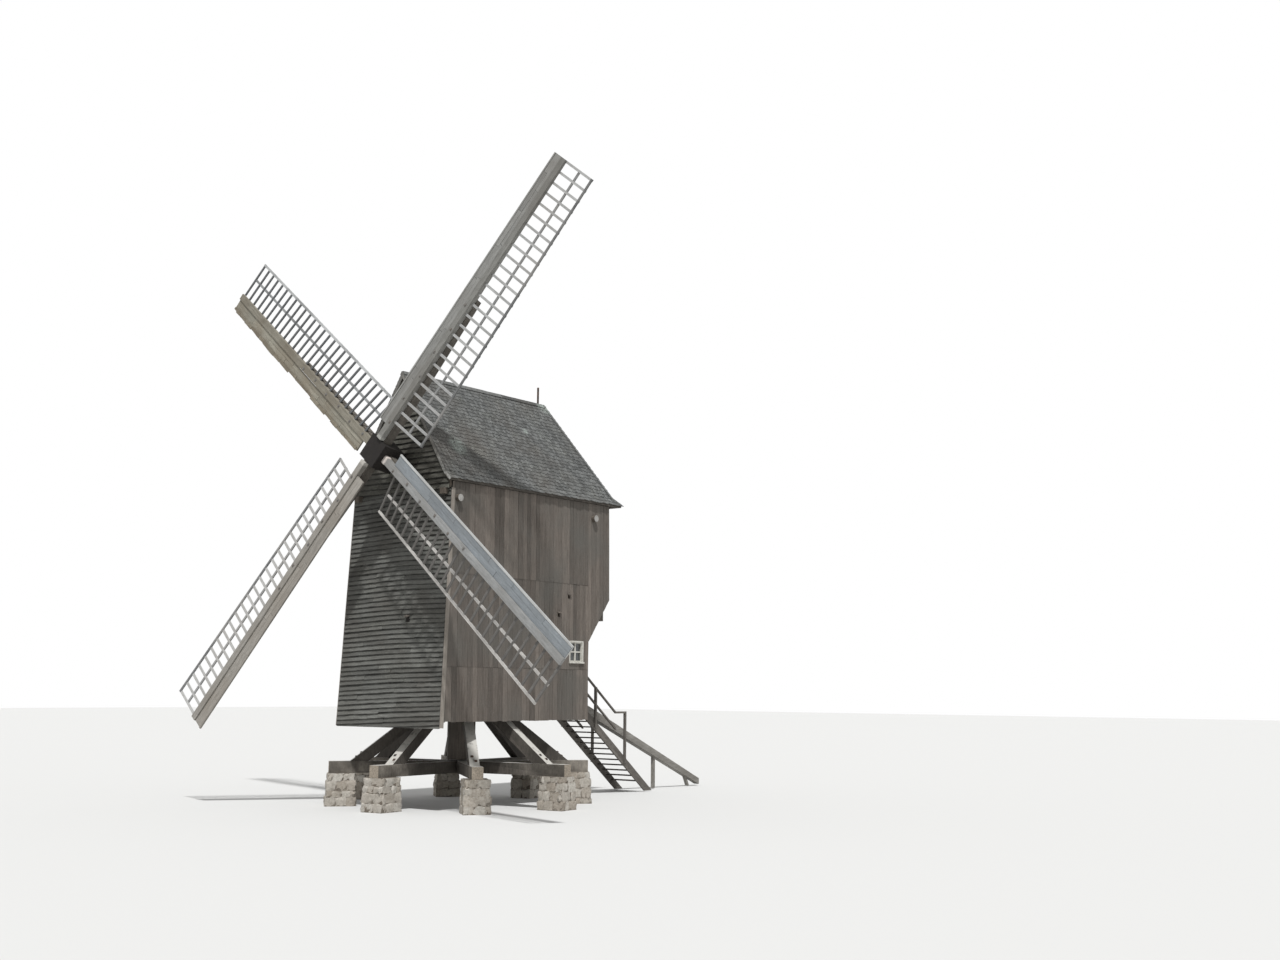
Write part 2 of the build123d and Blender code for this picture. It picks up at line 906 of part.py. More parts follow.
def pole_form(clearance):
    """The pole seen from the side, crossed with its outline seen from above."""
    head = pole_head_size / 2 + clearance
    tip = pole_tip_size / 2 + clearance
    tip_z = pole_center_z(pole_end_y)
    side_view = [
        (rear_y, pole_head_z - head),
        (pole_end_y, tip_z - tip),
        (pole_end_y, tip_z + tip),
        (rear_y, pole_head_z + head),
    ]
    with BuildPart() as pole:
        add(side_prism(side_view, head))
        with BuildSketch(mode=Mode.PRIVATE) as top_view:
            with BuildLine():
                Polyline((-head, rear_y), (-tip, pole_end_y), (tip, pole_end_y), (head, rear_y), close=True)
            make_face()
        extrude(to_extrude=top_view.sketch, amount=pole_head_z + 2 * head, mode=Mode.INTERSECT)
    return pole.part


tail_pole = pole_form(0)
tail_pole.label = "tail_pole"
export_step(tail_pole, "parts/tail_pole.step")

with BuildPart() as tail_props:
    for inset, lean in ((prop_near_inset, 0), (prop_far_inset, prop_far_lean)):
        head_y = pole_end_y - inset
        prop_outline = [
            (head_y - prop_width / 2, pole_center_z(head_y)),
            (head_y + prop_width / 2, pole_center_z(head_y)),
            (head_y + prop_width / 2 + lean, prop_foot_gap),
            (head_y - prop_width / 2 + lean, prop_foot_gap),
        ]
        add(side_prism(prop_outline, prop_width / 2))
    add(tail_pole, mode=Mode.SUBTRACT)
tail_props.part.label = "tail_props"
export_step(tail_props.part, "parts/tail_props.step")

stair_rise = tan(radians(stair_slope))
stringer_upright = stringer_depth / cos(radians(stair_slope))


def stair_nose_z(y):
    return floor_top - (y - rear_y) * stair_rise


def stair_nose_y(z):
    return rear_y + (floor_top - z) / stair_rise


stringer_outline = [
    (rear_y, floor_top),
    (stair_nose_y(stair_foot_gap), stair_foot_gap),
    (stair_nose_y(stair_foot_gap + stringer_upright), stair_foot_gap),
    (rear_y, floor_top - stringer_upright),
]
with BuildPart() as stair_stringers:
    for side in (-1, 1):
        with BuildSketch(Plane.YZ.offset(side * (stair_half - stringer_width / 2))):
            with BuildLine():
                Polyline(*stringer_outline, close=True)
            make_face()
        extrude(amount=stringer_width / 2, both=True)
stair_stringers.part.label = "stair_stringers"
export_step(stair_stringers.part, "parts/stair_stringers.step")

tread_count = int((floor_top - stair_foot_gap) / tread_rise)
tread_half = stair_half - stringer_width
with BuildPart() as stair_treads:
    for number in range(1, tread_count):
        top = floor_top - number * tread_rise
        nose = stair_nose_y(top)
        add(
            box_between(
                (-tread_half, nose - tread_depth, top - tread_thickness),
                (tread_half, nose, top),
            )
        )
    add(pole_form(pole_gap), mode=Mode.SUBTRACT)
stair_treads.part.label = "stair_treads"
export_step(stair_treads.part, "parts/stair_treads.step")

# The rail starts under the soffit, follows the stair and runs out level to its last post
soffit_rise = (overhang_high - overhang_low) / overhang_reach
rail_start_y = rear_y + max(0, floor_top + rail_height - overhang_low) / (soffit_rise + stair_rise)


def rail_z(y):
    return stair_nose_z(min(y, rail_bend_y)) + rail_height


rail_outline = [
    (rail_start_y, rail_z(rail_start_y)),
    (rail_bend_y, rail_z(rail_bend_y)),
    (rail_end_y, rail_z(rail_end_y)),
    (rail_end_y, rail_z(rail_end_y) - rail_size),
    (rail_bend_y, rail_z(rail_bend_y) - rail_size),
    (rail_start_y, rail_z(rail_start_y) - rail_size),
]
mid_rail_outline = [
    (rail_start_y, rail_z(rail_start_y) - rail_height / 2),
    (rail_bend_y, rail_z(rail_bend_y) - rail_height / 2),
    (rail_bend_y, rail_z(rail_bend_y) - rail_height / 2 - rail_size),
    (rail_start_y, rail_z(rail_start_y) - rail_height / 2 - rail_size),
]
with BuildPart() as handrails:
    for side in (-1, 1):
        center_x = side * (stair_half + rail_post_size / 2)
        with BuildSketch(Plane.YZ.offset(center_x)):
            for outline in (rail_outline, mid_rail_outline):
                with BuildLine():
                    Polyline(*outline, close=True)
                make_face()
        extrude(amount=rail_size / 2, both=True)
        post_pitch = (rail_end_y - rail_post_size / 2 - rail_first_post_y) / (rail_post_count - 1)
        for number in range(rail_post_count):
            y = rail_first_post_y + number * post_pitch
            foot = stair_nose_z(y) - stringer_upright + rail_post_set
            add(
                box_between(
                    (center_x - rail_post_size / 2, y - rail_post_size / 2, foot),
                    (center_x + rail_post_size / 2, y + rail_post_size / 2, rail_z(y)),
                )
            )
handrails.part.label = "handrails"
export_step(handrails.part, "parts/handrails.step")
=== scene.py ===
import math
import random

import bmesh
import bpy
from mathutils import Matrix, Vector


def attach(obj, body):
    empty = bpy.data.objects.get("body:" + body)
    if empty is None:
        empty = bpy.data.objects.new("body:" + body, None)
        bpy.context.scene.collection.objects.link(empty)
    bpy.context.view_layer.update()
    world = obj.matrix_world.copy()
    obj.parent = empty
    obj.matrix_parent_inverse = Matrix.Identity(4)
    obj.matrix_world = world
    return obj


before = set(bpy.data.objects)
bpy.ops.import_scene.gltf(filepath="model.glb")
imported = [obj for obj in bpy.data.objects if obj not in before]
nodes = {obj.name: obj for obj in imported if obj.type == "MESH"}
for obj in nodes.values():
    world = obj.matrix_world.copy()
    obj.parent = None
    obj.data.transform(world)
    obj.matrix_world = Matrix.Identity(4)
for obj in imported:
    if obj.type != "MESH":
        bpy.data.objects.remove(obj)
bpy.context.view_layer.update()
dice = random.Random(8)

# the main lines of the mill, in metres, as they are in the solids; "half" is half a width
wall = {"sideFoot": 2.215, "sideHead": 2.108, "foot": 2.65, "head": 9.7, "frontFoot": -3.2,
        "frontHead": -2.85, "hang": 2.46, "rear": 3.62, "rearTop": 4.75, "overhangLow": 5.2,
        "overhangHigh": 6.66, "gable": -2.95, "gableFoot": 9.64}
roof = {"eaveHalf": 2.24, "eave": 9.92, "fascia": 0.08, "kinkHalf": 1.99, "kink": 10.16, "ridge": 13.42,
        "verge": -3.01, "ridgeEnd": 3.7, "hipKink": 5.08, "hipEave": 5.3}
window = {"y": 3.01, "sill": 4.49, "size": 0.7}
peepholes = {"right": [(2.64, 6.63), (2.13, 6.01)], "front": [(0.62, 5.68)], "half": 0.055}
tieBeams = {"y": (-2.64, 3.89), "z": 9.33, "radius": 0.113, "half": 2.29}
hub = Vector((0, -3.8, 10.73))
sails = {"lean": math.radians(8.25), "angle": 51.8, "seats": (0.285, -0.005, 0.285, -0.005), "end": 10.5}
feet = {"count": 8, "turn": 6, "radius": 3.72, "barRadius": 3.445, "barSlope": 38, "treeTop": 1.36}

wallRise = wall["head"] - wall["foot"]
frontSlope = (wall["frontHead"] - wall["frontFoot"]) / wallRise
sideSlope = (wall["sideHead"] - wall["sideFoot"]) / wallRise


def frontFace(z):
    return wall["frontFoot"] + (z - wall["foot"]) * frontSlope


def sideFace(z):
    return wall["sideFoot"] + (z - wall["foot"]) * sideSlope


def sailLines(index):
    # out along the whip, ahead of the mill and towards the leading edge
    angle, lean = math.radians(sails["angle"] + 90 * index), sails["lean"]
    reach = Vector((math.cos(angle), math.sin(angle) * math.sin(lean), math.sin(angle) * math.cos(lean)))
    ahead = Vector((0, -math.cos(lean), math.sin(lean)))
    return reach, ahead, ahead.cross(reach)


def footLines(number):
    angle = math.radians(feet["turn"] + 360 / feet["count"] * number)
    return Vector((math.cos(angle), math.sin(angle), 0)), Vector((-math.sin(angle), math.cos(angle), 0))


def sway(amount):
    return dice.uniform(-amount, amount)


# choosing, shaping, copying and joining


def choose(*pieces):
    if bpy.context.object and bpy.context.object.mode != "OBJECT":
        bpy.ops.object.mode_set(mode="OBJECT")
    bpy.ops.object.select_all(action="DESELECT")
    for piece in pieces:
        piece.select_set(True)
    if pieces:
        bpy.context.view_layer.objects.active = pieces[0]


def edit(piece):
    choose(piece)
    bpy.ops.object.mode_set(mode="EDIT")
    bpy.ops.mesh.select_all(action="SELECT")


def done():
    bpy.ops.object.mode_set(mode="OBJECT")


def pick(piece, kind, test):
    bpy.ops.mesh.select_mode(type=kind)
    bpy.ops.mesh.select_all(action="DESELECT")
    shape = bmesh.from_edit_mesh(piece.data)
    for part in shape.verts if kind == "VERT" else shape.edges:
        part.select_set(bool(test(part)))
    bmesh.update_edit_mesh(piece.data)


def ease(offset, segments=1):
    bpy.ops.mesh.bevel(offset=offset, segments=segments)


def runsAlong(edge, axis):
    run = edge.verts[1].co - edge.verts[0].co
    return abs(run[axis]) > 0.9 * run.length


def lowest(edge):
    return min(vertex.co.z for vertex in edge.verts)


def applyPlace():
    bpy.ops.object.transform_apply(location=True, rotation=True, scale=True)
    return bpy.context.object


def cube(low=(-0.5, -0.5, -0.5), high=(0.5, 0.5, 0.5)):
    choose()
    bpy.ops.mesh.primitive_cube_add(size=1, location=[(a + b) / 2 for a, b in zip(low, high)])
    bpy.context.object.scale = [b - a for a, b in zip(low, high)]
    return applyPlace()


def copyOf(blank, place):
    twin = blank.copy()
    twin.data = blank.data.copy()
    twin.data.transform(place)
    bpy.context.scene.collection.objects.link(twin)
    return twin


def facing(at, along, outward):
    # local X runs along and local Z stands outward
    x = Vector(along).normalized()
    y = Vector(outward).cross(x).normalized()
    place = Matrix((x, y, x.cross(y))).transposed().to_4x4()
    place.translation = Vector(at)
    return place


def lay(blank, at, along, outward, size, tilt=0, turn=0):
    # a copy at its size, tilted about its length and turned in its plane by so many degrees
    place = facing(at, along, outward) @ Matrix.Rotation(math.radians(tilt), 4, "X")
    place = place @ Matrix.Rotation(math.radians(turn), 4, "Z")
    return copyOf(blank, place @ Matrix.Diagonal((*size, 1)))


def layOnSail(index, blank, along, aside, ahead, size=(1, 1, 1), turn=0):
    # from the hub: out along the whip, towards the leading edge and ahead of the whip's seat
    reach, outward, leading = sailLines(index)
    at = hub + reach * along + leading * aside + outward * (sails["seats"][index] + ahead)
    return lay(blank, at, reach, outward, size, turn=turn)


def joined(name, pieces):
    choose(*pieces)
    if len(pieces) > 1:
        bpy.ops.object.join()
    whole = bpy.context.object
    whole.name = whole.data.name = name
    return whole


def discard(*pieces):
    for piece in pieces:
        bpy.data.objects.remove(piece)


def cutAway(piece, point, outward):
    # cuts off what lies past a plane and closes the cut
    edit(piece)
    outward = Vector(outward).normalized()
    bpy.ops.mesh.bisect(plane_co=point, plane_no=outward, use_fill=True, clear_outer=True)
    done()


def applyModifier(piece, modifier):
    choose(piece)
    bpy.ops.object.modifier_apply(modifier=modifier.name)


def reachOf(piece):
    return [(min(places), max(places)) for places in zip(*piece.bound_box)]


def cutOpenings(boards, cutters):
    # cuts each opening out of the boards that it touches, and drops the boards left empty
    bpy.context.view_layer.update()
    kept = []
    for board in boards:
        for cutter in cutters:
            spans = zip(reachOf(board), reachOf(cutter))
            if all(a[0] < b[1] and b[0] < a[1] for a, b in spans):
                hole = board.modifiers.new("hole", "BOOLEAN")
                hole.operation = "DIFFERENCE"
                hole.solver = "EXACT"
                hole.object = cutter
                applyModifier(board, hole)
        if len(board.data.polygons):
            kept.append(board)
        else:
            discard(board)
    discard(*cutters)
    return kept


def roughen(piece, offset, seed):
    edit(piece)
    bpy.ops.transform.vertex_random(offset=offset, uniform=1, normal=0, seed=seed)
    done()


def smooth(piece, degrees):
    choose(piece)
    bpy.ops.object.shade_smooth_by_angle(angle=math.radians(degrees))


def boardBlank(cuts, edge, thin=0):
    # a board one metre long, wide and thick, cut across, with eased front edges
    blank = cube()
    edit(blank)
    pick(blank, "EDGE", lambda e: runsAlong(e, 0))
    if cuts:
        bpy.ops.mesh.subdivide(number_cuts=cuts)
    if thin:  # a weatherboard is thin at its upper edge
        pick(blank, "VERT", lambda v: v.co.y > 0 and v.co.z > 0)
        bpy.ops.transform.translate(value=(0, 0, -thin))
    pick(blank, "EDGE", lambda e: runsAlong(e, 0) and lowest(e) > 0)
    ease(edge)
    done()
    return blank


# nodes of the finishes


def fill(tree, node, given):
    # links sockets, and sets numbers and colours
    for key, value in given.items():
        socket = node.inputs[key]
        if isinstance(value, bpy.types.NodeSocket):
            tree.links.new(value, socket)
        else:
            socket.default_value = (*value, 1) if socket.type == "RGBA" else value
    return node


def nodeOf(tree, kind, given=None, **settings):
    node = tree.nodes.new("ShaderNode" + kind)
    for name, value in settings.items():
        setattr(node, name, value)
    return fill(tree, node, given or {}).outputs


def noise(tree, place, scale, detail, rough=0.55):
    given = {"Vector": place, "Scale": scale, "Detail": detail, "Roughness": rough}
    return nodeOf(tree, "TexNoise", given)["Fac"]


def maths(tree, operation, *values, clamp=False):
    return nodeOf(tree, "Math", dict(enumerate(values)), operation=operation, use_clamp=clamp)[0]


def times(tree, a, b, clamp=False):
    return maths(tree, "MULTIPLY", a, b, clamp=clamp)


def vectors(tree, operation, given):
    return nodeOf(tree, "VectorMath", given, operation=operation)


def between(tree, value, low, high):
    return nodeOf(tree, "MapRange", {"Value": value, "From Min": low, "From Max": high})["Result"]


def mixed(tree, share, a, b, blend="MIX"):
    return nodeOf(tree, "Mix", {0: share, 6: a, 7: b}, data_type="RGBA", blend_type=blend)[2]


def partOf(tree, vector, axis):
    return nodeOf(tree, "SeparateXYZ", {0: vector})[axis]


def groupOf(name, inputs, outputs):
    tree = bpy.data.node_groups.new(name, "ShaderNodeTree")
    for way, sockets in (("INPUT", inputs), ("OUTPUT", outputs)):
        for label, kind in sockets.items():
            tree.interface.new_socket(name=label, in_out=way, socket_type="NodeSocket" + kind)
    return tree, tree.nodes.new("NodeGroupInput").outputs, tree.nodes.new("NodeGroupOutput")


def placed(tree, group, given):
    return nodeOf(tree, "Group", given, node_tree=group)


def makeGrain():
    # sawn timber: long fibres, dark checks and a tone of its own for each board
    tree, given, out = groupOf(
        "timberGrain",
        {"Place": "Vector", "Light": "Color", "Dark": "Color", "Tone": "Float", "Tone Range": "Float",
         "Checks": "Float"},
        {"Color": "Color", "Roughness": "Float", "Height": "Float"},
    )
    place = given["Place"]
    fibre = noise(tree, place, 9, 6, 0.65)
    streak = maths(tree, "MULTIPLY_ADD", fibre, 0.55, times(tree, noise(tree, place, 1.6, 4), 0.5))
    wood = mixed(tree, between(tree, streak, 0.34, 0.68), given["Dark"], given["Light"])
    check = between(tree, noise(tree, place, 15, 3, 0.5), 0.36, 0.27)
    wood = mixed(tree, times(tree, check, given["Checks"], True), wood, (0.03, 0.026, 0.022))
    tone = times(tree, maths(tree, "SUBTRACT", given["Tone"], 0.5), given["Tone Range"])
    tone = maths(tree, "ADD", tone, 1.0)
    shade = nodeOf(tree, "CombineColor", {0: tone, 1: tone, 2: tone})[0]
    fill(tree, out, {
        "Color": mixed(tree, 1.0, wood, shade, "MULTIPLY"),
        "Roughness": maths(tree, "ADD", times(tree, fibre, 0.25), 0.68),
        "Height": maths(tree, "SUBTRACT", streak, times(tree, check, 0.5)),
    })
    return tree


def makeCover(name, cover, more, maskOf):
    # a group that lays another colour over a base, as far as its mask goes
    inputs = {"Place": "Vector", "Base": "Color", cover: "Color", "Amount": "Float", **more}
    tree, given, out = groupOf(name, inputs, {"Color": "Color"})
    mask = times(tree, maskOf(tree, given), given["Amount"], True)
    fill(tree, out, {"Color": mixed(tree, mask, given["Base"], given[cover])})
    return tree


def patchMask(tree, given):
    return between(tree, noise(tree, given["Place"], given["Size"], 5, 0.6), 0.42, 0.66)


def lichenMask(tree, given):
    spots = between(tree, noise(tree, given["Place"], 26, 4, 0.7), 0.56, 0.66)
    return times(tree, spots, between(tree, noise(tree, given["Place"], 1.7, 3), 0.45, 0.62))


def skyLitMask(tree, given):
    # painted light: the faces that look up at the sky are made paler, as if lit from above
    up = between(tree, partOf(tree, given["Facing"], "Z"), 0.35, 0.75)
    return times(tree, up, between(tree, noise(tree, given["Place"], 5, 4), 0.2, 0.45))


grainGroup = makeGrain()
patchGroup = makeCover("weatherPatches", "Patch", {"Size": "Float"}, patchMask)
lichenGroup = makeCover("lichenSpots", "Lichen", {}, lichenMask)
skyLitGroup = makeCover("paintedSkyLight", "TopLight", {"Facing": "Vector"}, skyLitMask)


def blankMaterial(name, roughness=0.8, metallic=0.0, specular=0.3):
    material = bpy.data.materials.new(name)
    material.use_nodes = True
    tree = material.node_tree
    shader = tree.nodes["Principled BSDF"]
    fill(tree, shader, {"Roughness": roughness, "Metallic": metallic, "Specular IOR Level": specular})
    return material, tree, shader, nodeOf(tree, "TexCoord")["Object"]


def stretched(tree, place, scale, turn=(0, 0, 0)):
    turned = nodeOf(tree, "Mapping", {"Vector": place, "Rotation": [math.radians(a) for a in turn]})[0]
    return nodeOf(tree, "Mapping", {"Vector": turned, "Scale": scale})[0]


def raised(tree, shader, height, strength, distance):
    bump = nodeOf(tree, "Bump", {"Height": height, "Strength": strength, "Distance": distance})[0]
    fill(tree, shader, {"Normal": bump})


def ownTone(tree):
    return nodeOf(tree, "NewGeometry")["Random Per Island"]


def timber(name, light, dark, stretch, turn=(0, 0, 0), toneRange=0.3, checks=0.5, patch=None, lichen=None,
           paintedTopLight=None, lapShade=0.0, spots=(), spotColor=None, end=None, second=None):
    material, tree, shader, place = blankMaterial(name)
    if second:
        share = second[0](tree, place)
        light, dark = mixed(tree, share, light, second[1]), mixed(tree, share, dark, second[2])
    # each board is cut from another place in the log
    own = ownTone(tree)
    shift = vectors(tree, "SCALE", {0: (7.3, 3.1, 5.7), "Scale": own})[0]
    log = vectors(tree, "ADD", {0: stretched(tree, place, stretch, turn), 1: shift})[0]
    grain = placed(tree, grainGroup, {
        "Place": log, "Light": light, "Dark": dark, "Tone": own, "Tone Range": toneRange, "Checks": checks,
    })
    color = grain["Color"]
    for group, label, cover in ((patchGroup, "Patch", patch), (lichenGroup, "Lichen", lichen),
                                (skyLitGroup, "TopLight", paintedTopLight)):
        if cover:
            given = {"Place": place, "Base": color, label: cover[0], "Amount": cover[-1]}
            if group == patchGroup:
                given["Size"] = cover[1]
            if group == skyLitGroup:
                given["Facing"] = nodeOf(tree, "NewGeometry")["Normal"]
            color = placed(tree, group, given)["Color"]
    # painted shade in the laps: darker just under the next board's lower edge and along each board's own
    # lower edge
    if lapShade:
        across = nodeOf(tree, "Attribute", attribute_name="across")["Fac"]
        shadeInLap = maths(tree, "MAXIMUM", between(tree, across, 0.08, 0.25), between(tree, across, -0.41, -0.46))
        shadeInLap = times(tree, shadeInLap, between(tree, noise(tree, place, 3, 4), 0.2, 0.6))
        color = mixed(tree, times(tree, shadeInLap, lapShade, True), color, (0.022, 0.021, 0.019))
    for center, radius in spots:
        far = vectors(tree, "DISTANCE", {0: place, 1: center})["Value"]
        near = between(tree, far, radius, radius * 0.45)
        crust = between(tree, noise(tree, place, 6 / radius, 4, 0.65), 0.38, 0.6)
        color = mixed(tree, times(tree, near, crust, True), color, spotColor)
    if end:
        rings = between(tree, noise(tree, place, 30, 5, 0.6), 0.35, 0.62)
        cutEnd = mixed(tree, rings, tuple(0.55 * part for part in end[1]), end[1])
        color = mixed(tree, end[0](tree, place), color, cutEnd)
    fill(tree, shader, {"Base Color": color, "Roughness": grain["Roughness"]})
    raised(tree, shader, grain["Height"], 0.35, 0.012)
    return material


# masks for parts of a solid: each is made in a material from the place on the object


def pastRadius(limit, soft=0.004):
    def mask(tree, place):
        flat = vectors(tree, "MULTIPLY", {0: place, 1: (1, 1, 0)})[0]
        return between(tree, vectors(tree, "LENGTH", {0: flat})["Value"], limit - soft, limit)
    return mask


def pastSide(limit):
    def mask(tree, place):
        return between(tree, maths(tree, "ABSOLUTE", partOf(tree, place, "X")), limit - 0.004, limit)
    return mask


def sunlitTreeEnds(tree, place):
    # painted sunlight: the outer parts of the cross trees, below the feet of the quarter bars, lighter than
    # the parts in the body's shade
    outer = pastRadius(3.5, 1.3)(tree, place)
    low = between(tree, partOf(tree, place, "Z"), feet["treeTop"] + 0.015, feet["treeTop"] + 0.005)
    patchy = between(tree, noise(tree, place, 2.5, 4), 0.25, 0.6)
    return times(tree, times(tree, outer, low), patchy, True)


# middleShare: how much of its sail's painted lath tone the middle lath takes
lattice = {"firstBar": 1.1375, "pitch": 0.35865, "bar": 0.075, "outerLath": 1.342,
           "middleLath": 0.765, "lathHalf": 0.039, "middleShare": (0.6, 0.6, 0.6, 0.9)}


def alongLine(tree, place, line):
    return vectors(tree, "DOT_PRODUCT", {0: place, 1: line})["Value"]


def alongSail(tree, place, index):
    reach = sailLines(index)[0]
    return maths(tree, "SUBTRACT", alongLine(tree, place, reach), reach.dot(hub))


def laths(index):
    # the two laths that run along a sail, the middle one between its bars
    def mask(tree, place):
        trailing = -sailLines(index)[2]
        start = trailing.dot(hub)
        across = alongLine(tree, place, trailing)
        outer = maths(tree, "GREATER_THAN", across, start + lattice["outerLath"])
        middle = maths(tree, "COMPARE", across, start + lattice["middleLath"], lattice["lathHalf"])
        number = maths(tree, "SUBTRACT", alongSail(tree, place, index), lattice["firstBar"])
        number = maths(tree, "DIVIDE", number, lattice["pitch"])
        share = maths(tree, "FRACT", maths(tree, "ADD", number, 0.5))
        offBar = maths(tree, "ABSOLUTE", maths(tree, "SUBTRACT", share, 0.5))
        clear = maths(tree, "GREATER_THAN", offBar, lattice["bar"] / 2 / lattice["pitch"])
        middle = times(tree, times(tree, middle, clear), lattice["middleShare"][index])
        return maths(tree, "MAXIMUM", outer, middle)
    return mask


def whipEnd(index):
    # the inner end of a whip, where the cut end and the bare wood round it are paler
    def mask(tree, place):
        return between(tree, alongSail(tree, place, index), 0.56, 0.5)
    return mask


# light tone, dark tone, stretch of the grain and the rest of each timber's look;
# a patch is a colour, size and amount, and lichen and the painted top light are a colour and amount
alongX, alongY, alongZ, even = (1.2, 14, 14), (14, 1.2, 14), (14, 14, 1.2), (5, 5, 5)
timbers = {
    "weatherboard": ((0.168, 0.17, 0.158), (0.068, 0.068, 0.062), alongX, dict(
        toneRange=0.5, checks=0.7, patch=((0.062, 0.055, 0.046), 0.7, 0.5),
        lichen=((0.27, 0.28, 0.235), 0.5), lapShade=0.9)),
    "gableBoard": ((0.16, 0.157, 0.137), (0.05, 0.048, 0.04), alongX, dict(
        toneRange=0.5, checks=0.7, patch=((0.05, 0.045, 0.037), 1.1, 0.6),
        lichen=((0.23, 0.25, 0.18), 0.7), lapShade=0.9)),
    "uprightBoard": ((0.172, 0.149, 0.13), (0.076, 0.064, 0.054), alongZ, dict(
        toneRange=0.6, checks=0.7, patch=((0.105, 0.102, 0.092), 0.45, 0.7),
        lichen=((0.28, 0.27, 0.24), 0.25))),
    "cornerStrip": ((0.34, 0.31, 0.275), (0.17, 0.15, 0.13), alongZ, dict(
        toneRange=0.2, checks=0.6, patch=((0.15, 0.13, 0.11), 0.8, 0.5))),
    "wallInside": ((0.16, 0.135, 0.11), (0.075, 0.062, 0.05), alongZ, dict(checks=0.4)),
    "shingle": ((0.158, 0.163, 0.16), (0.058, 0.06, 0.059), (11, 11, 2.2), dict(
        toneRange=0.7, checks=0.7, patch=((0.102, 0.09, 0.077), 0.5, 0.5), lichen=((0.36, 0.375, 0.33), 0.8),
        spots=(((1.43, -1.98, 11.08), 0.42), ((0.76, 1.9, 12.16), 0.16), ((0.05, 3.65, 13.42), 0.45)),
        spotColor=(0.36, 0.4, 0.37))),
    "verge": ((0.27, 0.265, 0.245), (0.12, 0.115, 0.105), (6, 6, 6), dict(
        checks=0.6, patch=((0.12, 0.11, 0.1), 0.8, 0.6),
        spots=(((2.06, -3.02, 10.1), 0.7),), spotColor=(0.44, 0.44, 0.42))),
    "wornEnd": ((0.74, 0.685, 0.65), (0.5, 0.445, 0.41), (9, 9, 9), dict(
        checks=0.4, patch=((0.5, 0.44, 0.4), 3.0, 0.6))),
    "roofDeck": ((0.1, 0.088, 0.075), (0.045, 0.04, 0.034), alongY, dict(checks=0.3)),
    "trestleOak": ((0.125, 0.112, 0.097), (0.045, 0.04, 0.034), (9, 9, 3), dict(
        toneRange=0.35, checks=0.8, patch=((0.04, 0.035, 0.03), 0.55, 0.75),
        paintedTopLight=((0.5, 0.485, 0.45), 1.0), end=(pastRadius(4.1), (0.36, 0.31, 0.25)),
        # the second tones are painted sunlight on the outer parts of the cross trees
        second=(sunlitTreeEnds, (0.36, 0.33, 0.285), (0.19, 0.17, 0.143)))),
    "frameOak": ((0.15, 0.128, 0.105), (0.065, 0.054, 0.044), alongX, dict(
        checks=0.7, end=(pastSide(tieBeams["half"]), (0.42, 0.41, 0.39)))),
    "postOak": ((0.13, 0.113, 0.096), (0.05, 0.043, 0.036), alongZ, dict(
        checks=0.9, patch=((0.04, 0.035, 0.03), 0.8, 0.7))),
    # the poll's dark oak, darkened further to near black as painted shade round the hub
    "pollOakAndShade": ((0.024, 0.02, 0.018), (0.008, 0.007, 0.006), even, dict(
        checks=0.9, patch=((0.014, 0.012, 0.011), 0.8, 0.7))),
    "stockOak": ((0.17, 0.155, 0.135), (0.07, 0.062, 0.052), even, dict(
        checks=0.8, patch=((0.055, 0.048, 0.04), 0.8, 0.6))),
    "stairTimber": ((0.19, 0.177, 0.16), (0.078, 0.069, 0.06), (10, 1.5, 6), dict(
        checks=0.6, patch=((0.082, 0.073, 0.065), 0.8, 0.5), paintedTopLight=((0.33, 0.323, 0.305), 0.8))),
    "treadTimber": ((0.1, 0.09, 0.079), (0.043, 0.037, 0.032), alongX, {}),
    "poleTimber": ((0.29, 0.28, 0.258), (0.125, 0.115, 0.102), (10, 1.2, 8), dict(
        checks=0.8, patch=((0.15, 0.138, 0.122), 0.8, 0.5), paintedTopLight=((0.46, 0.455, 0.43), 0.8))),
}

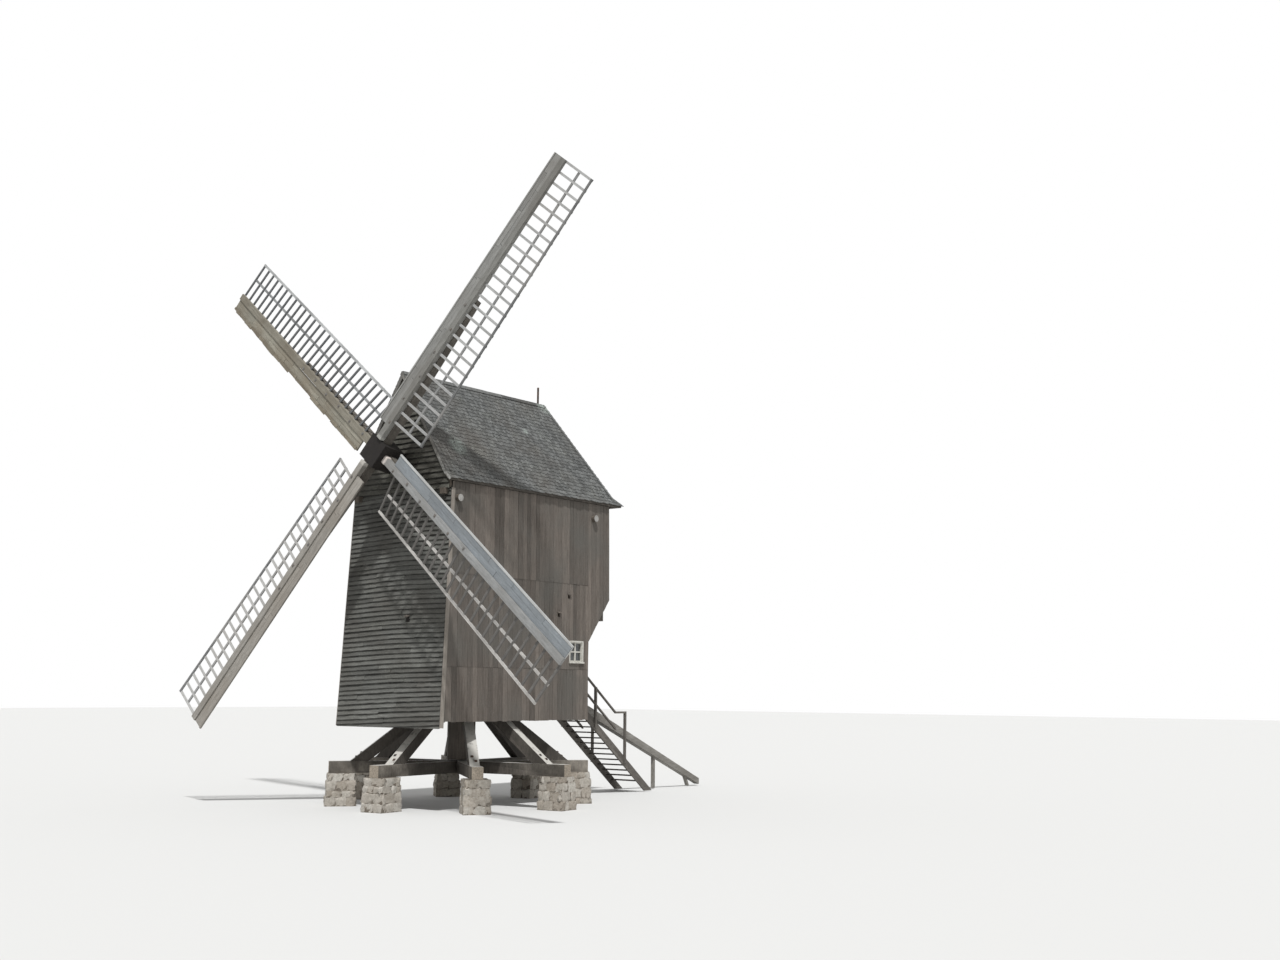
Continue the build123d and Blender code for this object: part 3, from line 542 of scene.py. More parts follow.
# light tone, dark tone and stain of each sail's whip, boards, rail and bars,
# and light and dark tone of its laths; the bars and laths hold painted light and shade:
# those that run from upper left to lower right in the view (the bars of sails 1 and 3,
# the laths of sails 2 and 4) are painted pale as lit, the others painted dark as shaded
sailTones = [
    (((0.27, 0.268, 0.25), (0.12, 0.117, 0.108), (0.15, 0.142, 0.128)),
     ((0.31, 0.31, 0.295), (0.15, 0.148, 0.14), (0.19, 0.18, 0.165)),
     ((0.33, 0.33, 0.315), (0.16, 0.158, 0.15), (0.2, 0.19, 0.175)),
     ((0.46, 0.465, 0.46), (0.27, 0.27, 0.265), (0.3, 0.29, 0.275)),
     ((0.16, 0.163, 0.163), (0.075, 0.076, 0.076))),
    (((0.3, 0.282, 0.235), (0.135, 0.122, 0.095), (0.14, 0.118, 0.088)),
     ((0.34, 0.325, 0.272), (0.165, 0.152, 0.12), (0.2, 0.165, 0.12)),
     ((0.28, 0.255, 0.2), (0.12, 0.105, 0.08), (0.13, 0.1, 0.07)),
     ((0.15, 0.157, 0.163), (0.068, 0.071, 0.075), (0.11, 0.112, 0.112)),
     ((0.5, 0.51, 0.51), (0.31, 0.315, 0.315))),
    (((0.38, 0.365, 0.335), (0.18, 0.168, 0.15), (0.22, 0.2, 0.172)),
     ((0.37, 0.352, 0.32), (0.18, 0.166, 0.147), (0.25, 0.222, 0.188)),
     ((0.36, 0.34, 0.305), (0.17, 0.156, 0.137), (0.2, 0.18, 0.155)),
     ((0.52, 0.52, 0.51), (0.32, 0.315, 0.305), (0.36, 0.345, 0.325)),
     ((0.23, 0.235, 0.237), (0.12, 0.122, 0.124))),
    (((0.37, 0.377, 0.375), (0.17, 0.172, 0.17), (0.21, 0.203, 0.19)),
     ((0.275, 0.3, 0.318), (0.14, 0.155, 0.168), (0.2, 0.212, 0.218)),
     ((0.54, 0.55, 0.545), (0.31, 0.315, 0.31), (0.34, 0.335, 0.32)),
     ((0.165, 0.157, 0.148), (0.08, 0.076, 0.071), (0.12, 0.114, 0.107)),
     ((0.56, 0.545, 0.52), (0.36, 0.345, 0.325))),
]
for index, tones in enumerate(sailTones):
    turn = (0, sails["angle"] - 90 * (index % 2), 0)
    for kind, (light, dark, stain) in zip(("whip", "board", "rail", "bars"), tones):
        more = dict(turn=turn, patch=(stain, 0.7, 0.65))
        # the laths get their sail's lath tone: painted light on sails 2 and 4, painted shade on sails 1 and 3
        if kind == "bars":
            more["second"] = (laths(index), *tones[-1])
        if kind == "whip":
            more["end"] = (whipEnd(index), tuple(1.5 * part for part in light))
        timbers[f"{kind}Timber{index + 1}"] = (light, dark, even if kind == "bars" else alongX, more)
finish = {}
for name, (light, dark, stretch, more) in timbers.items():
    finish[name] = timber(name, light, dark, stretch, **more)


def stone(name, light, dark):
    material, tree, shader, place = blankMaterial(name, 0.9)
    color = mixed(tree, between(tree, noise(tree, place, 14, 8, 0.62), 0.3, 0.7), dark, light)
    tint = mixed(tree, ownTone(tree), (0.78, 0.72, 0.66), (1.15, 1.14, 1.12))
    color = mixed(tree, 1.0, color, tint, "MULTIPLY")
    given = {"Place": place, "Base": color, "Lichen": (0.5, 0.5, 0.42), "Amount": 0.6}
    fill(tree, shader, {"Base Color": placed(tree, lichenGroup, given)["Color"]})
    raised(tree, shader, noise(tree, place, 30, 6, 0.6), 0.6, 0.015)
    finish[name] = material


def patched(name, base, patch, size, amount, **shine):
    # paint, glass or iron: one colour with soft patches of another
    material, tree, shader, place = blankMaterial(name, **shine)
    given = {"Place": place, "Base": base, "Patch": patch, "Size": size, "Amount": amount}
    fill(tree, shader, {"Base Color": placed(tree, patchGroup, given)["Color"]})
    finish[name] = material
    return tree, shader, place


stone("fieldStone", (0.5, 0.48, 0.445), (0.29, 0.273, 0.245))
stone("mortar", (0.22, 0.2, 0.175), (0.12, 0.105, 0.09))
tree, shader, place = patched("whitePaint", (0.56, 0.55, 0.505), (0.36, 0.34, 0.3), 7.0, 0.7, roughness=0.55)
raised(tree, shader, noise(tree, stretched(tree, place, (20, 20, 3)), 2, 4), 0.2, 0.004)
patched("windowGlass", (0.035, 0.04, 0.042), (0.1, 0.105, 0.1), 6.0, 0.6, roughness=0.12, specular=0.6)
for name, base, patch in (("rustedIron", (0.055, 0.05, 0.047), (0.14, 0.075, 0.045)),
                          ("greyIron", (0.2, 0.197, 0.19), (0.17, 0.135, 0.11))):
    tree, shader, place = patched(name, base, patch, 12.0, 0.8, roughness=0.7, metallic=0.3)
    raised(tree, shader, noise(tree, place, 60, 4), 0.4, 0.003)
print("finishes made")


def dress(piece, look):
    piece.data.materials.clear()
    piece.data.materials.append(finish[look])


def hand(piece, body, look):
    dress(piece, look)
    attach(piece, body)


def assemble(name, pieces, body, look, wave=0, seed=0):
    whole = joined(name, pieces)
    if wave:
        roughen(whole, wave, seed)
    hand(whole, body, look)
    return whole


nodeLooks = {
    "wallInside": "front_wall gable_front side_wall_right side_wall_left back_wall_lower back_wall_upper "
                  "overhang_soffit entrance_porch entrance_door",
    "roofDeck": "roof_right roof_left roof_hip",
    "trestleOak": "cross_tree_lower cross_tree_upper cross_tree_arms quarter_bars",
    "postOak": "main_post rear_pendants",
    "pollOakAndShade": "windshaft poll_end",
    "frameOak": "floor floor_beams crown_tree tie_beams neck_beam tail_beam wall_plates",
    "stockOak": "stocks",
    "stairTimber": "stair_stringers handrails",
    "treadTimber": "stair_treads",
    "poleTimber": "tail_pole tail_props",
    "rustedIron": "finial",
    "whitePaint": "window_frames",
    "windowGlass": "window_glass",
    "mortar": "stone_piers",
}
for number in range(1, 5):
    for kind, node in (("whip", "whip"), ("bars", "lattice"), ("rail", "leading_board")):
        nodeLooks[f"{kind}Timber{number}"] = f"{node}_{number}"
for look, members in nodeLooks.items():
    for member in members.split():
        dress(nodes[member], look)
print("solids dressed")

# weatherboards of the front and the gable
courses = {"stand": 0.021,  # how far the middle of a board stands before the wall
           "step": 0.148, "width": 0.19, "thickness": 0.034,
           "thin": 0.55,  # share of the thickness lost at the upper edge
           "tilt": -8.5, "lift": 0.013, "slope": 0.3, "wave": 0.006, "cuts": 9,
           "butt": 0.004,  # half the gap between two lengths
           "past": 0.012,  # how far the courses run past the side walls
           "head": 9.68}
frontPeephole = {"half": 0.085, "halfHeight": 0.08}
sunk = {"middle": 0.1, "soft": 0.5, "left": 0.048, "rightFoot": 0.046, "rightHead": -0.012, "headZ": 5.8}


def sunkBy(x, z):
    # how far a course has moved up or down: the corners have sunk beside the middle
    climb = min(1, max(0, (z - wall["hang"]) / (sunk["headZ"] - wall["hang"])))
    right = sunk["rightFoot"] + (sunk["rightHead"] - sunk["rightFoot"]) * climb
    off = x - sunk["middle"]
    bend = math.hypot(off, sunk["soft"]) - sunk["soft"]
    return (sunk["left"] + right) / 2 * off + (right - sunk["left"]) / 2 * bend


def layCourses(name, faceAt, foot, head, half, given, openings=(), settle=None):
    blank = boardBlank(given["cuts"], 0.05, given["thin"])
    across = blank.data.attributes.new("across", "FLOAT", "POINT")  # the finish paints shade into the laps with it
    across.data.foreach_set("value", [vertex.co.y for vertex in blank.data.vertices])
    laid = []
    z = foot
    while z < head:
        outward = (0, -1, faceAt(z + 1) - faceAt(z))
        joint = sway(0.7) * half  # two lengths to a course
        for left, right in ((-half, joint - given["butt"]), (joint + given["butt"], half)):
            rise = z + given["width"] / 2 + sway(given["lift"])
            at = ((left + right) / 2, faceAt(z) - given["stand"], rise)
            size = (right - left, given["width"], given["thickness"])
            laid.append(lay(blank, at, (1, 0, 0), outward, size, given["tilt"], sway(given["slope"])))
        z += given["step"]
    discard(blank)
    if settle:
        for board in laid:
            for vertex in board.data.vertices:
                vertex.co.z += settle(vertex.co.x, vertex.co.z)
    boards = joined(name, cutOpenings(laid, openings))
    roughen(boards, given["wave"], 4)
    return boards


frontHoles = []
for x, z in peepholes["front"]:
    half, high = frontPeephole["half"], frontPeephole["halfHeight"]
    frontHoles.append(cube((x - half, -3.6, z - high), (x + half, -2.6, z + high)))
frontBoards = layCourses("frontBoards", frontFace, wall["hang"] - 0.168, wall["gableFoot"] + 0.06,
                         wall["sideFoot"] + 0.04, courses, frontHoles, sunkBy)
cutAway(frontBoards, (0, 0, wall["hang"] - 0.02), (0, 0, -1))
for side in (1, -1):
    corner = (side * (wall["sideFoot"] + courses["past"]), 0, wall["foot"])
    cutAway(frontBoards, corner, (side, 0, -sideSlope))
cutAway(frontBoards, (0, 0, courses["head"]), (0, 0, 1))
hand(frontBoards, "buck", "weatherboard")

slopeUp = Vector((-roof["kinkHalf"], 0, roof["ridge"] - roof["kink"]))  # the roof's right side and its flare
flareUp = Vector((roof["kinkHalf"] - roof["eaveHalf"], 0, roof["kink"] - roof["eave"]))
gableCourses = dict(courses, step=0.17, width=0.21, wave=0.008, slope=0.8)
gableHalf = 2.12
gableBoards = layCourses("gableBoards", lambda z: wall["gable"], wall["gableFoot"] - 0.03,
                         roof["ridge"] - 0.15, gableHalf - 0.02, gableCourses)
for side in (1, -1):
    cutAway(gableBoards, (0, 0, roof["ridge"] - 0.22), (side * slopeUp.z, 0, -slopeUp.x))
    cutAway(gableBoards, (side * gableHalf, 0, wall["head"]), (side, 0, 0.015))
hand(gableBoards, "buck", "gableBoard")
print("weatherboards laid")

# upright boards of the sides, the back, the corners and the overhang
uprights = {"narrow": 0.17, "wide": 0.27, "gap": 0.006, "thickness": 0.024, "floorJoint": 4.26,
            "jointZ": 7.1, "jointLap": 0.012, "uneven": 0.003, "wave": 0.003}
porchHalf, doorwayHalf = 0.76, 0.46
boardUp = boardBlank(5, 0.1)
boardHead = roof["eave"] - roof["fascia"] - 0.01
overhang = Vector((0, wall["rearTop"] - wall["rear"], wall["overhangHigh"] - wall["overhangLow"]))


def boardEdges(start, end, fixed=()):
    # board edges from start to end, with random widths, that pass through the fixed places
    edges = [start]
    for stop in (*sorted(fixed), end):
        while stop - edges[-1] > uprights["wide"] * 1.35:
            edges.append(edges[-1] + dice.uniform(uprights["narrow"], uprights["wide"]))
        if stop - edges[-1] > uprights["wide"]:
            edges.append((edges[-1] + stop) / 2)
        edges.append(stop)
    return edges


def sideBoards(name, side, openings):
    windowEdges = (window["y"] - window["size"] / 2, window["y"] + window["size"] / 2)
    fixed = (*windowEdges, wall["rear"] + 0.012)
    edges = boardEdges(wall["frontFoot"] - 0.02, wall["rearTop"] + 0.015, fixed)
    pieces, overhung = [], []
    for low, high in zip(edges, edges[1:]):
        spans = [(wall["foot"] - dice.uniform(0.0, 0.025), uprights["floorJoint"] - 0.004, 0.0),
                 (uprights["floorJoint"] + dice.uniform(0.0, 0.008), uprights["jointZ"], 0.002),
                 (uprights["jointZ"] - 0.04, boardHead, uprights["jointLap"])]
        if low > wall["rear"]:
            spans = [(wall["overhangLow"], boardHead, uprights["jointLap"])]
        for foot, top, proud in spans:
            middle = (foot + top) / 2
            out = proud + sway(uprights["uneven"]) + uprights["thickness"] / 2
            at = (side * (sideFace(middle) + out), (low + high) / 2, middle)
            size = (top - foot, high - low - uprights["gap"], uprights["thickness"])
            board = lay(boardUp, at, (side * sideSlope, 0, 1), (side, 0, 0), size)
            (overhung if low > wall["rear"] else pieces).append(board)
    rearSide = joined(name, overhung)
    cutAway(rearSide, (0, wall["rear"] + 0.02, wall["overhangLow"] - 0.012), (0, overhang.z, -overhang.y))
    boards = joined(name, cutOpenings([rearSide] + pieces, openings))
    cutAway(boards, (0, wall["frontFoot"] + 0.005, wall["foot"]), (0, -1, frontSlope))
    roughen(boards, uprights["wave"], 7 + side)
    hand(boards, "buck", "uprightBoard")


def sideCutter(side, y, z, half, height):
    reach = sorted((side * 1.9, side * 2.5))
    return cube((reach[0], y - half, z), (reach[1], y + half, z + height))


for name, side in (("sideBoardsRight", 1), ("sideBoardsLeft", -1)):
    cutters = [sideCutter(side, window["y"], window["sill"], window["size"] / 2, window["size"])]
    for y in tieBeams["y"]:
        bpy.ops.mesh.primitive_cylinder_add(vertices=32, radius=tieBeams["radius"], depth=5.2,
                                            location=(0, y, tieBeams["z"]), rotation=(0, math.pi / 2, 0))
        cutters.append(applyPlace())
    if side > 0:
        half = peepholes["half"]
        cutters += [sideCutter(side, y, z - half, half, 2 * half) for y, z in peepholes["right"]]
    sideBoards(name, side, cutters)
print("upright boards nailed")


def rearPanel(name, edges, foot, head, faceY):
    pieces = []
    for low, high in zip(edges, edges[1:]):
        at = ((low + high) / 2, faceY + 0.012 + sway(uprights["uneven"]), (foot + head) / 2)
        size = (head - foot, high - low - uprights["gap"], uprights["thickness"])
        pieces.append(lay(boardUp, at, (0, 0, 1), (0, 1, 0), size))
    assemble(name, pieces, "buck", "uprightBoard", uprights["wave"], 5)


rearFoot, rearHead, rearSide = wall["foot"] - 0.01, wall["overhangLow"] - 0.01, sideFace(3.5) + 0.01
rearPanel("rearBoardsUpper", boardEdges(-sideFace(8), sideFace(8)), wall["overhangHigh"] + 0.04, boardHead,
          wall["rearTop"])
leftEdges, rightEdges = boardEdges(-rearSide, -doorwayHalf), boardEdges(doorwayHalf, rearSide)
rearPanel("rearBoardsLeft", leftEdges, rearFoot, rearHead, wall["rear"])
rearPanel("rearBoardsRight", rightEdges, rearFoot, rearHead, wall["rear"])
rearPanel("rearBoardsUnderDoor", boardEdges(-doorwayHalf, doorwayHalf), rearFoot, uprights["floorJoint"],
          wall["rear"])

# one board on each front corner, over the end grain of the weatherboards
corner = {"width": 0.14, "thickness": 0.03, "top": 9.62, "out": 0.034, "back": 0.03}
strips = []
for side in (1, -1):
    top, foot = corner["top"], wall["hang"]
    middle = (top + foot) / 2
    run = Vector((side * (sideFace(top) - sideFace(foot)), frontFace(top) - frontFace(foot), top - foot))
    at = (side * (sideFace(middle) + corner["out"]),
          frontFace(middle) + corner["width"] / 2 - corner["back"], middle)
    strips.append(lay(boardUp, at, run, (side * run.z, 0, -side * run.x),
                      (run.length, corner["width"], corner["thickness"])))
assemble("cornerStrips", strips, "buck", "cornerStrip", 0.002, 3)

# soffit of the overhang, on both sides of the porch
soffitDown = Vector((0, overhang.z, -overhang.y)).normalized()
soffitPieces = []
for start, end in ((-sideFace(6), -porchHalf), (porchHalf, sideFace(6))):
    edges = boardEdges(start, end)
    for low, high in zip(edges, edges[1:]):
        at = Vector(((low + high) / 2, wall["rear"], wall["overhangLow"])) + overhang / 2 + soffitDown * 0.01
        size = (overhang.length + 0.01, high - low - uprights["gap"], 0.022)
        soffitPieces.append(lay(boardUp, at, overhang, soffitDown, size))
assemble("soffitBoards", soffitPieces, "buck", "uprightBoard", 0.003, 9)

# the door: upright planks and two ledges
door = {"half": 0.45, "foot": 4.3, "height": 1.75, "planks": 5, "face": wall["rear"] - 0.025,
        "ledges": (4.6, 5.75), "ledge": (0.8, 0.13, 0.024), "ringX": 0.34, "plateZ": 5.2, "ringZ": 5.16}
doorPieces = []
plank = 2 * door["half"] / door["planks"]
for number in range(door["planks"]):
    at = (plank * (number + 0.5) - door["half"], door["face"] + 0.012, door["foot"] + door["height"] / 2)
    size = (door["height"] - 0.01, plank - uprights["gap"], 0.022)
    doorPieces.append(lay(boardUp, at, (0, 0, 1), (0, 1, 0), size))
for z in door["ledges"]:
    doorPieces.append(lay(boardUp, (0, door["face"] + 0.034, z), (1, 0, 0), (0, 1, 0), door["ledge"]))
assemble("doorPlanks", doorPieces, "buck", "uprightBoard", 0.0015, 11)
discard(boardUp)
print("corners, soffit and door boarded")

shingle = {"width": 0.112, "length": 0.27, "thickness": 0.014, "step": 0.15, "flareStep": 0.155,
           "lift": 3.4, "droop": 0.024, "strip": 9, "gap": 0.006, "stand": 0.018}


def shingleStrip():
    # a short run of uneven shingles: one is shaped, then copied with its own width and droop
    blank = cube()
    edit(blank)
    pick(blank, "VERT", lambda v: v.co.y > 0 and v.co.z > 0)  # thin upper end
    bpy.ops.transform.translate(value=(0, 0, -0.7))
    pick(blank, "EDGE", lambda e: runsAlong(e, 1) and lowest(e) > -0.45)
    ease(0.05)
    done()
    pieces = []
    x = 0
    for number in range(shingle["strip"]):
        width = shingle["width"] * dice.uniform(0.72, 1.28)
        droop = sway(shingle["droop"])
        at = (x + width / 2, shingle["length"] / 2 - 0.02 + droop, dice.uniform(0, 0.004))
        turn = sway(1.2)
        size = (width - shingle["gap"], shingle["length"], shingle["thickness"] * dice.uniform(0.8, 1.3))
        pieces.append(lay(blank, at, (1, 0, 0), (0, 0, 1), size, turn=turn))
        x += width
    discard(blank)
    return joined("shingleStrip", pieces), x


def shingleRows(foot, along, upward, width, step, shift):
    # rows that run along and climb upward, each slid by another share of the strip
    strip, stripLength = shingleStrip()
    along = Vector(along)
    laid = []
    for row in range(int(upward.length / step)):
        slide = (row * 0.618 + shift) % 1 * stripLength
        at = Vector(foot) + upward.normalized() * (row * step) - along * slide
        place = facing(at, along, along.cross(upward)) @ Matrix.Translation((0, 0, shingle["stand"]))
        line = copyOf(strip, place @ Matrix.Rotation(math.radians(-shingle["lift"]), 4, "X"))
        repeat = line.modifiers.new("run", "ARRAY")
        repeat.count = int((width + slide) / stripLength) + 1
        repeat.use_relative_offset = False
        repeat.use_constant_offset = True
        repeat.constant_offset_displace = along * stripLength
        applyModifier(line, repeat)
        laid.append(line)
    discard(strip)
    return joined("shingleRows", laid)


hipUp = Vector((0, roof["ridgeEnd"] - roof["hipKink"], slopeUp.z))
hipFlareUp = Vector((0, roof["hipKink"] - roof["hipEave"], flareUp.z))
slopeHip, flareHip = (hipUp.y, -slopeUp.x), (hipFlareUp.y, -flareUp.x)  # across the hip's line, in plan
roofRun, hipRun = roof["hipEave"] - roof["verge"] + 0.06, 4.6
eaveOut, kinkOut = roof["eaveHalf"] + 0.005, roof["kinkHalf"]
for name, side in (("shinglesRight", 1), ("shinglesLeft", -1)):
    along, turn = (0, side, 0), Vector((side, 1, 1))
    startY = roof["verge"] - 0.02 if side > 0 else roof["hipEave"] + 0.04
    flare = shingleRows((side * eaveOut, startY, roof["eave"] - 0.01), along, flareUp * turn, roofRun,
                        shingle["flareStep"], 0.3)
    slope = shingleRows((side * kinkOut, startY, roof["kink"]), along, slopeUp * turn, roofRun,
                        shingle["step"], 0)
    cutAway(flare, (side * kinkOut, roof["hipKink"] + 0.01, 0), (side * flareHip[0], flareHip[1], 0))
    cutAway(slope, (0, roof["ridgeEnd"] + 0.01, 0), (side * slopeHip[0], slopeHip[1], 0))
    cutAway(slope, (side * 0.01, 0, 0), (-side, 0, 0))
    roofSide = joined(name, [flare, slope])
    cutAway(roofSide, (0, roof["verge"] - 0.025, 0), (0, -1, 0))
    hand(roofSide, "buck", "shingle")
hipStart = roof["eaveHalf"] + 0.05
hipFlare = shingleRows((hipStart, roof["hipEave"] + 0.005, roof["eave"] - 0.01), (-1, 0, 0), hipFlareUp,
                       hipRun, shingle["flareStep"], 0.5)
hipSlope = shingleRows((hipStart, roof["hipKink"], roof["kink"]), (-1, 0, 0), hipUp, hipRun,
                       shingle["step"], 0.1)
for side in (1, -1):
    cutAway(hipFlare, (side * kinkOut, roof["hipKink"] - 0.01, 0), (-side * flareHip[0], -flareHip[1], 0))
    cutAway(hipSlope, (0, roof["ridgeEnd"] - 0.01, 0), (-side * slopeHip[0], -slopeHip[1], 0))
assemble("shinglesHip", [hipFlare, hipSlope], "buck", "shingle")
print("roof shingled")

# caps over the ridge and the hips, and boards on the verges
cap = {"width": 0.13, "thickness": 0.022, "hipWidth": 0.1, "ridgeLengths": 3, "ridgeStand": 0.036,
       "hipStand": 0.032, "barge": (0.1, 0.024), "bargeDrop": 0.05}
boardCap = boardBlank(6, 0.1)
capPieces, bargePieces = [], []
ridgeLength = (roof["ridgeEnd"] - roof["verge"] + 0.05) / cap["ridgeLengths"]
for side in (1, -1):
    down = Vector((-side * slopeUp.x, 0, -slopeUp.z))
    flare = Vector((-side * flareUp.x, 0, -flareUp.z))
    slopeOut = Vector((side * slopeUp.z, 0, -slopeUp.x)).normalized()
    hipOut = Vector((0, hipUp.z, -hipUp.y)).normalized()
    for number in range(cap["ridgeLengths"]):
        at = Vector((0, roof["verge"] - 0.03 + ridgeLength * (number + 0.5), roof["ridge"]))
        at += down.normalized() * (cap["width"] / 2 - 0.01) + slopeOut * cap["ridgeStand"]
        size = (ridgeLength - 0.008, cap["width"], cap["thickness"])
        capPieces.append(lay(boardCap, at, (0, 1, 0), slopeOut, size))
    top = Vector((0, roof["ridgeEnd"], roof["ridge"]))
    kink = Vector((side * roof["kinkHalf"], roof["hipKink"], roof["kink"]))
    tip = Vector((side * roof["eaveHalf"], roof["hipEave"], roof["eave"]))
    for a, b in ((top, kink), (kink, tip)):
        for outward, way in ((slopeOut, side), (hipOut, -side)):
            inner = (b - a).cross(outward).normalized() * way
            at = (a + b) / 2 + inner * (cap["hipWidth"] / 2 - 0.012) + outward * cap["hipStand"]
            size = ((b - a).length, cap["hipWidth"], cap["thickness"])
            capPieces.append(lay(boardCap, at, b - a, outward, size))
    kinkFront = Vector((side * roof["kinkHalf"], 0, roof["kink"]))
    for start, run in ((Vector((0, 0, roof["ridge"])), down), (kinkFront, flare)):
        under = Vector((-run.z, 0, run.x)).normalized() * side
        at = start + run / 2 - under * cap["bargeDrop"]
        at.y = roof["verge"] - 0.012
        bargePieces.append(lay(boardCap, at, run, (0, -1, 0), (run.length + 0.02, *cap["barge"])))
assemble("roofCaps", capPieces, "buck", "shingle", 0.003, 21)
assemble("bargeBoards", bargePieces, "buck", "verge", 0.003, 23)
discard(boardCap)
print("ridge and verges capped")

# fieldstones of the piers
piers = {"height": 1.0, "length": 0.78, "width": 0.68, "batter": 0.06, "courses": 4, "stone": 0.33,
         "proud": 0.015, "round": 0.32, "rough": 0.1, "shapes": 8}
stoneBlanks = []
for seed in range(piers["shapes"]):
    stoneBlanks.append(cube())
    edit(stoneBlanks[-1])
    bpy.ops.mesh.subdivide(number_cuts=2)
    bpy.ops.transform.tosphere(value=piers["round"])
    bpy.ops.transform.vertex_random(offset=piers["rough"], uniform=1, normal=0, seed=seed)
    done()

stonePieces = []
for foot in range(feet["count"]):
    outward, sideways = footLines(foot)
    faces = ((outward, sideways), (sideways, -outward), (-outward, -sideways), (-sideways, outward))
    heights = [dice.uniform(0.65, 1.35) for _ in range(piers["courses"])]
    z = 0.0
    for course, share in enumerate(heights):
        tall = share * piers["height"] / sum(heights)
        grow = piers["batter"] * (1 - (z + tall / 2) / piers["height"])
        for face, (normal, along) in enumerate(faces):
            deepSide, wideSide = piers["length"], piers["width"]
            if face % 2:
                deepSide, wideSide = wideSide, deepSide
            far = deepSide / 2 + grow
            wide = wideSide + 2 * grow + (0.03 if (course + face) % 2 else -0.16)  # corner stones alternate
            cuts = [dice.uniform(0.6, 1.5) for _ in range(max(2, round(wide / piers["stone"])))]
            x = -wide / 2
            for cut in cuts:
                long = cut * wide / sum(cuts)
                deep = dice.uniform(0.16, 0.2)
                proud = piers["proud"] * dice.uniform(0.4, 1.4)
                at = outward * feet["radius"] + normal * (far - deep / 2 + proud) + along * (x + long / 2)
                at.z = z + tall / 2
                turn = sway(7)
                size = (long * 1.04, tall * 1.02, deep)
                stonePieces.append(lay(dice.choice(stoneBlanks), at, along, normal, size, turn=turn))
                x += long
        z += tall
discard(*stoneBlanks)
pierStones = joined("pierStones", stonePieces)
edit(pierStones)
for test, level in ((lambda v: v.co.z < 0.004, 0.0005), (lambda v: v.co.z > 0.997, 0.997)):
    pick(pierStones, "VERT", test)
    bpy.ops.transform.resize(value=(1, 1, 0), center_override=(0, 0, level))
done()
smooth(pierStones, 50)
hand(pierStones, "trestle", "fieldStone")
print("piers built of", len(stonePieces), "stones")

# strakes of the leading boards
strakes = {"start": 0.9, "near": 0.114, "split": 0.285, "far": 0.452, "length": 1.6, "thickness": 0.014,
           "stand": 0.12, "uneven": 0.003}
slit = {"sail": 1, "start": 4.3, "end": 5.6, "near": 0.09, "far": 0.15}
strakeBlank = boardBlank(3, 0.08)
last = sails["end"] - 0.01
for index in range(4):
    laid = []
    for low, high in ((strakes["near"], strakes["split"]), (strakes["split"], strakes["far"])):
        start = strakes["start"] + 0.01
        while start < last:
            end = min(start + strakes["length"] * dice.uniform(0.7, 1.3), last)
            if sails["end"] - end < 0.5:
                end = last
            aside = (low + high) / 2 + sway(0.004)
            ahead = strakes["stand"] + sway(strakes["uneven"])
            size = (end - start - 0.01, high - low - 0.005, strakes["thickness"])
            laid.append(layOnSail(index, strakeBlank, (start + end) / 2, aside, ahead, size))
            start = end
    if index == slit["sail"]:
        opening = cube((slit["start"], slit["near"], 0.05), (slit["end"], slit["far"], 0.2))
        laid = cutOpenings(laid, [layOnSail(index, opening, 0, 0, 0)])
        discard(opening)
    assemble(f"sailStrakes{index + 1}", laid, "sails", f"boardTimber{index + 1}", 0.002,
             30 + index)

# slats nailed over the worn edge of the second sail's boards
slats = {"sail": 1, "near": 0.43, "far": 0.5, "ragged": 0.07, "length": 0.55, "thickness": 0.012,
         "stand": 0.14}
laid = []
start = strakes["start"] + 0.05
while start < sails["end"] - 0.1:
    end = min(start + slats["length"] * dice.uniform(0.5, 1.6), sails["end"] - 0.02)
    far = slats["far"] + dice.uniform(0, slats["ragged"])
    aside, wide = (slats["near"] + far) / 2, far - slats["near"]
    ahead = slats["stand"] + slats["thickness"] * dice.uniform(0.45, 0.65)
    size = (end - start - 0.012, wide, slats["thickness"])
    laid.append(layOnSail(slats["sail"], strakeBlank, (start + end) / 2, aside, ahead, size, sway(1.5)))
    start = end
assemble("edgeSlats", laid, "sails", "railTimber2", 0.006, 41)
discard(strakeBlank)

# the pale, rounded inner end of the fourth whip
whipCap = {"sail": 3, "size": (0.19, 0.275, 0.225), "along": 0.465, "ahead": 0.09, "round": 0.06}
half = Vector(whipCap["size"]) / 2
wornEnd = cube(-half, half)
edit(wornEnd)
ease(whipCap["round"], 3)
done()
whipEndPiece = layOnSail(whipCap["sail"], wornEnd, whipCap["along"], 0, whipCap["ahead"])
smooth(assemble("whipCap4", [whipEndPiece], "sails", "wornEnd", 0.004, 12), 60)
discard(wornEnd)
print("leading boards planked")

# bolts through the whips and stocks and through the feet of the quarter bars
bolt = {"washer": 0.09, "washerThick": 0.008, "head": 0.026, "headHigh": 0.028,
        "alongSail": (1.05, 1.9, 2.75, 3.6, 4.45, 5.3), "aside": 0.03, "whip": 0.17,
        "alongBar": ((0.22, 0.05), (0.42, -0.05))}


def boltBlank():
    # a hexagonal head on a square washer, seated at the origin with its axis along Z
    half, thick = bolt["washer"] / 2, bolt["washerThick"]
    plate = cube((-half, -half, 0), (half, half, thick))
    edit(plate)
    pick(plate, "EDGE", lambda e: runsAlong(e, 2))
    ease(0.012)
    done()
    bpy.ops.mesh.primitive_cylinder_add(vertices=6, radius=bolt["head"], depth=bolt["headHigh"],
                                        location=(0, 0, thick + bolt["headHigh"] / 2 - 0.002))
    head = bpy.context.object
    edit(head)
    bpy.ops.transform.rotate(value=math.radians(15), orient_axis="Z", center_override=(0, 0, 0))
    pick(head, "EDGE", lambda e: lowest(e) > 0)
    ease(0.005)
    done()
    return joined("boltBlank", [applyPlace(), plate])


